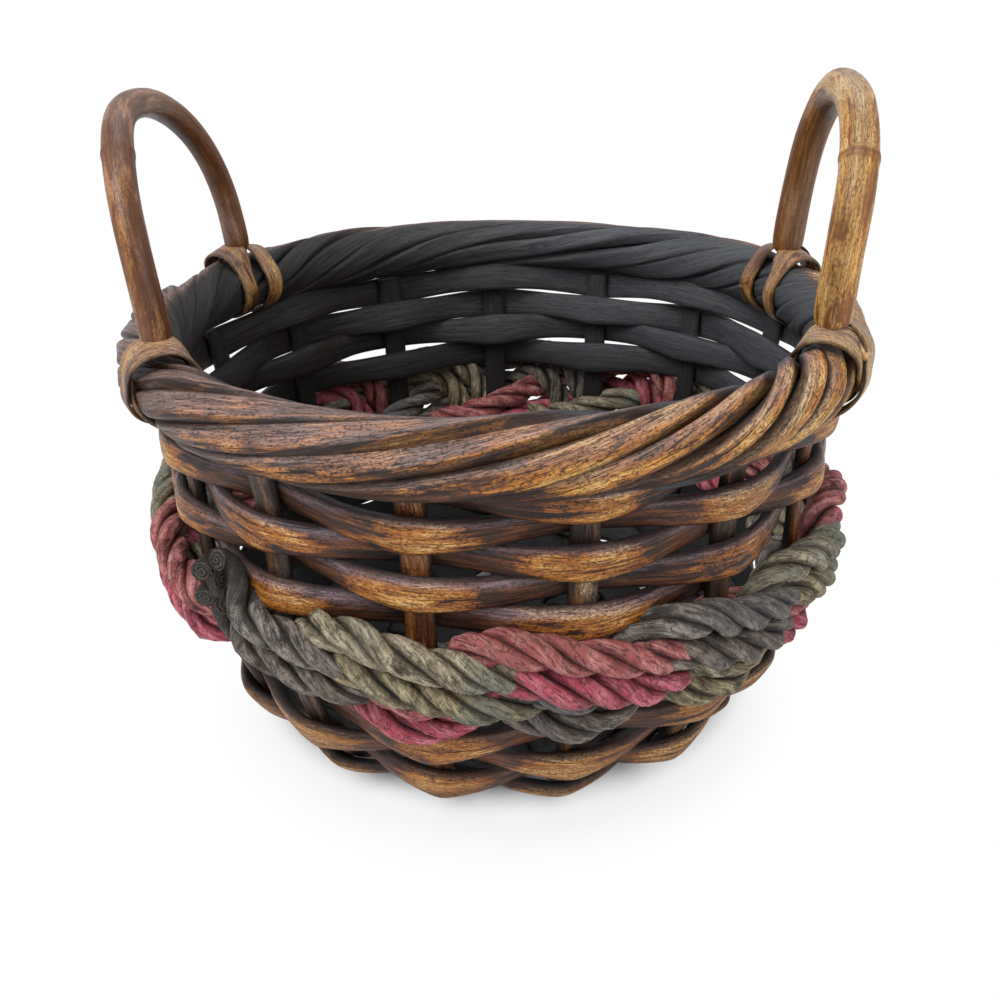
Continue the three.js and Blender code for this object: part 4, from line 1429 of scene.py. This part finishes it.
# %% The ground's white
PATCH_START, PATCH_END, SOFT_END = 0.09, 0.112, 0.13
PATCH_BACKWARDS = 0.18
SOFT_SHARE = 0.2
stage = Finish("stage_white")
stage.shader.inputs["Base Color"].default_value = (0.86, 0.86, 0.86, 1)
stage.shader.inputs["Roughness"].default_value = 0.9
stage.shader.inputs["Specular IOR Level"].default_value = 0.1
glow = stage.nodes.new("ShaderNodeEmission")
glow.inputs["Color"].default_value = (1, 1, 1, 1)
blend = stage.nodes.new("ShaderNodeMixShader")
ground_place = stage.node("ShaderNodeTexCoord", output="Object")
distance = stage.node("ShaderNodeVectorMath", {"operation": "LENGTH"}, {0: ground_place}, output="Value")
camera_ray = stage.node("ShaderNodeLightPath", output="Is Camera Ray")
shifted = distance - stage.part(ground_place, "Y") * PATCH_BACKWARDS
open_ground = stage.between(shifted, PATCH_START, PATCH_END) * (1 - SOFT_SHARE)
open_ground = open_ground + stage.between(distance, PATCH_START, SOFT_END) * SOFT_SHARE
stage.links.new((open_ground * camera_ray).socket, blend.inputs[0])
stage.links.new(stage.shader.outputs[0], blend.inputs[1])
stage.links.new(glow.outputs[0], blend.inputs[2])
stage.links.new(blend.outputs[0], stage.nodes["Material Output"].inputs["Surface"])
ground.data.materials.append(stage.material)
print("stage_white made")

# %% [markdown]
# ## White sky
# The sky lights the basket evenly with a slightly cool white. The camera sees it as plain white
# instead, brighter than the light it gives, so the background has one colour up to the basket.

# %% The sky
SKY_STRENGTH = 0.55
scene = bpy.context.scene
scene.view_settings.view_transform = "Standard"
world = bpy.data.worlds.new("white_room")
scene.world = world
world.use_nodes = True
nodes, links = world.node_tree.nodes, world.node_tree.links
sky = nodes["Background"]
sky.inputs["Color"].default_value = (0.93, 0.96, 1.0, 1)
sky.inputs["Strength"].default_value = SKY_STRENGTH
seen = nodes.new("ShaderNodeBackground")
seen.inputs["Color"].default_value = (1, 1, 1, 1)
light_path = nodes.new("ShaderNodeLightPath")
choose = nodes.new("ShaderNodeMixShader")
links.new(light_path.outputs["Is Camera Ray"], choose.inputs[0])
links.new(sky.outputs[0], choose.inputs[1])
links.new(seen.outputs[0], choose.inputs[2])
links.new(choose.outputs[0], nodes["World Output"].inputs["Surface"])
print("sky gives", SKY_STRENGTH, "of full white")

# %% [markdown]
# ## Lamps
# Three wide, soft lamps give the basket its shape, as in a small photo studio. The key lamp stands
# at the upper left front and makes the highlights. A weak warm one at the right front lifts the
# shaded side, and a cool one above the back lights the border's top and the inside.

# %% The lamps
def lamp(name, place, size, power, colour):
    """A square lamp that is aimed at the middle of the basket."""
    light = bpy.data.lights.new(name, "AREA")
    light.size = size
    light.energy = power
    light.color = colour
    thing = bpy.data.objects.new(name, light)
    scene.collection.objects.link(thing)
    thing.location = place
    aim = Vector((0, 0, 0.1)) - Vector(place)
    thing.rotation_euler = aim.to_track_quat("-Z", "Y").to_euler()
    print(name, "lamp is", round(aim.length, 2), "m from the basket's middle")


lamp("key", (-0.55, -0.55, 1.1), 0.7, 9, (1.0, 0.98, 0.95))
lamp("fill", (0.9, -0.8, 0.6), 0.8, 3, (1.0, 0.95, 0.9))
lamp("top", (0.1, 0.4, 1.3), 0.8, 4, (0.92, 0.96, 1.0))

# %% [markdown]
# ## Camera
# The viewing angle and the distance come from a fit of the rim, the stakes and the handles to the
# photograph. The camera stands 0.44 m from the point it aims at, looks 27 degrees down and is rolled
# by a little over one degree. Its small shifts put the basket where it stands in the photograph.

# %% The camera
FOCAL_PIXELS, PICTURE_PIXELS = 1079, 1000
SENSOR_WIDTH = 36
DISTANCE = 0.443
ELEVATION = math.radians(26.8)
AIM_HEIGHT = RIM_HEIGHT - 76 * MM
ROLL = math.radians(1.3)
SHIFT_RIGHT, SHIFT_UP = 0.0015, 0.0018
camera_data = bpy.data.cameras.new("camera")
camera_data.sensor_width = SENSOR_WIDTH
camera_data.lens = SENSOR_WIDTH * FOCAL_PIXELS / PICTURE_PIXELS
camera_data.shift_x = SHIFT_RIGHT
camera_data.shift_y = SHIFT_UP
camera_data.clip_start = 0.01
camera = bpy.data.objects.new("camera", camera_data)
scene.collection.objects.link(camera)
camera.location = (0, -DISTANCE * math.cos(ELEVATION), AIM_HEIGHT + DISTANCE * math.sin(ELEVATION))
look = Matrix.Rotation(math.pi / 2 - ELEVATION, 3, "X") @ Matrix.Rotation(-ROLL, 3, "Z")
camera.rotation_euler = look.to_euler()
scene.camera = camera
print("camera has a lens of", round(camera_data.lens, 1), "mm")

# %% [markdown]
# ## Triangle count
# The triangles of the visual pieces are counted and printed. The dressed basket should fill the
# same space as the solids it stands for.

# %% Triangle count
print("triangles", sum(len(thing.data.polygons) for thing in pieces) * 2)
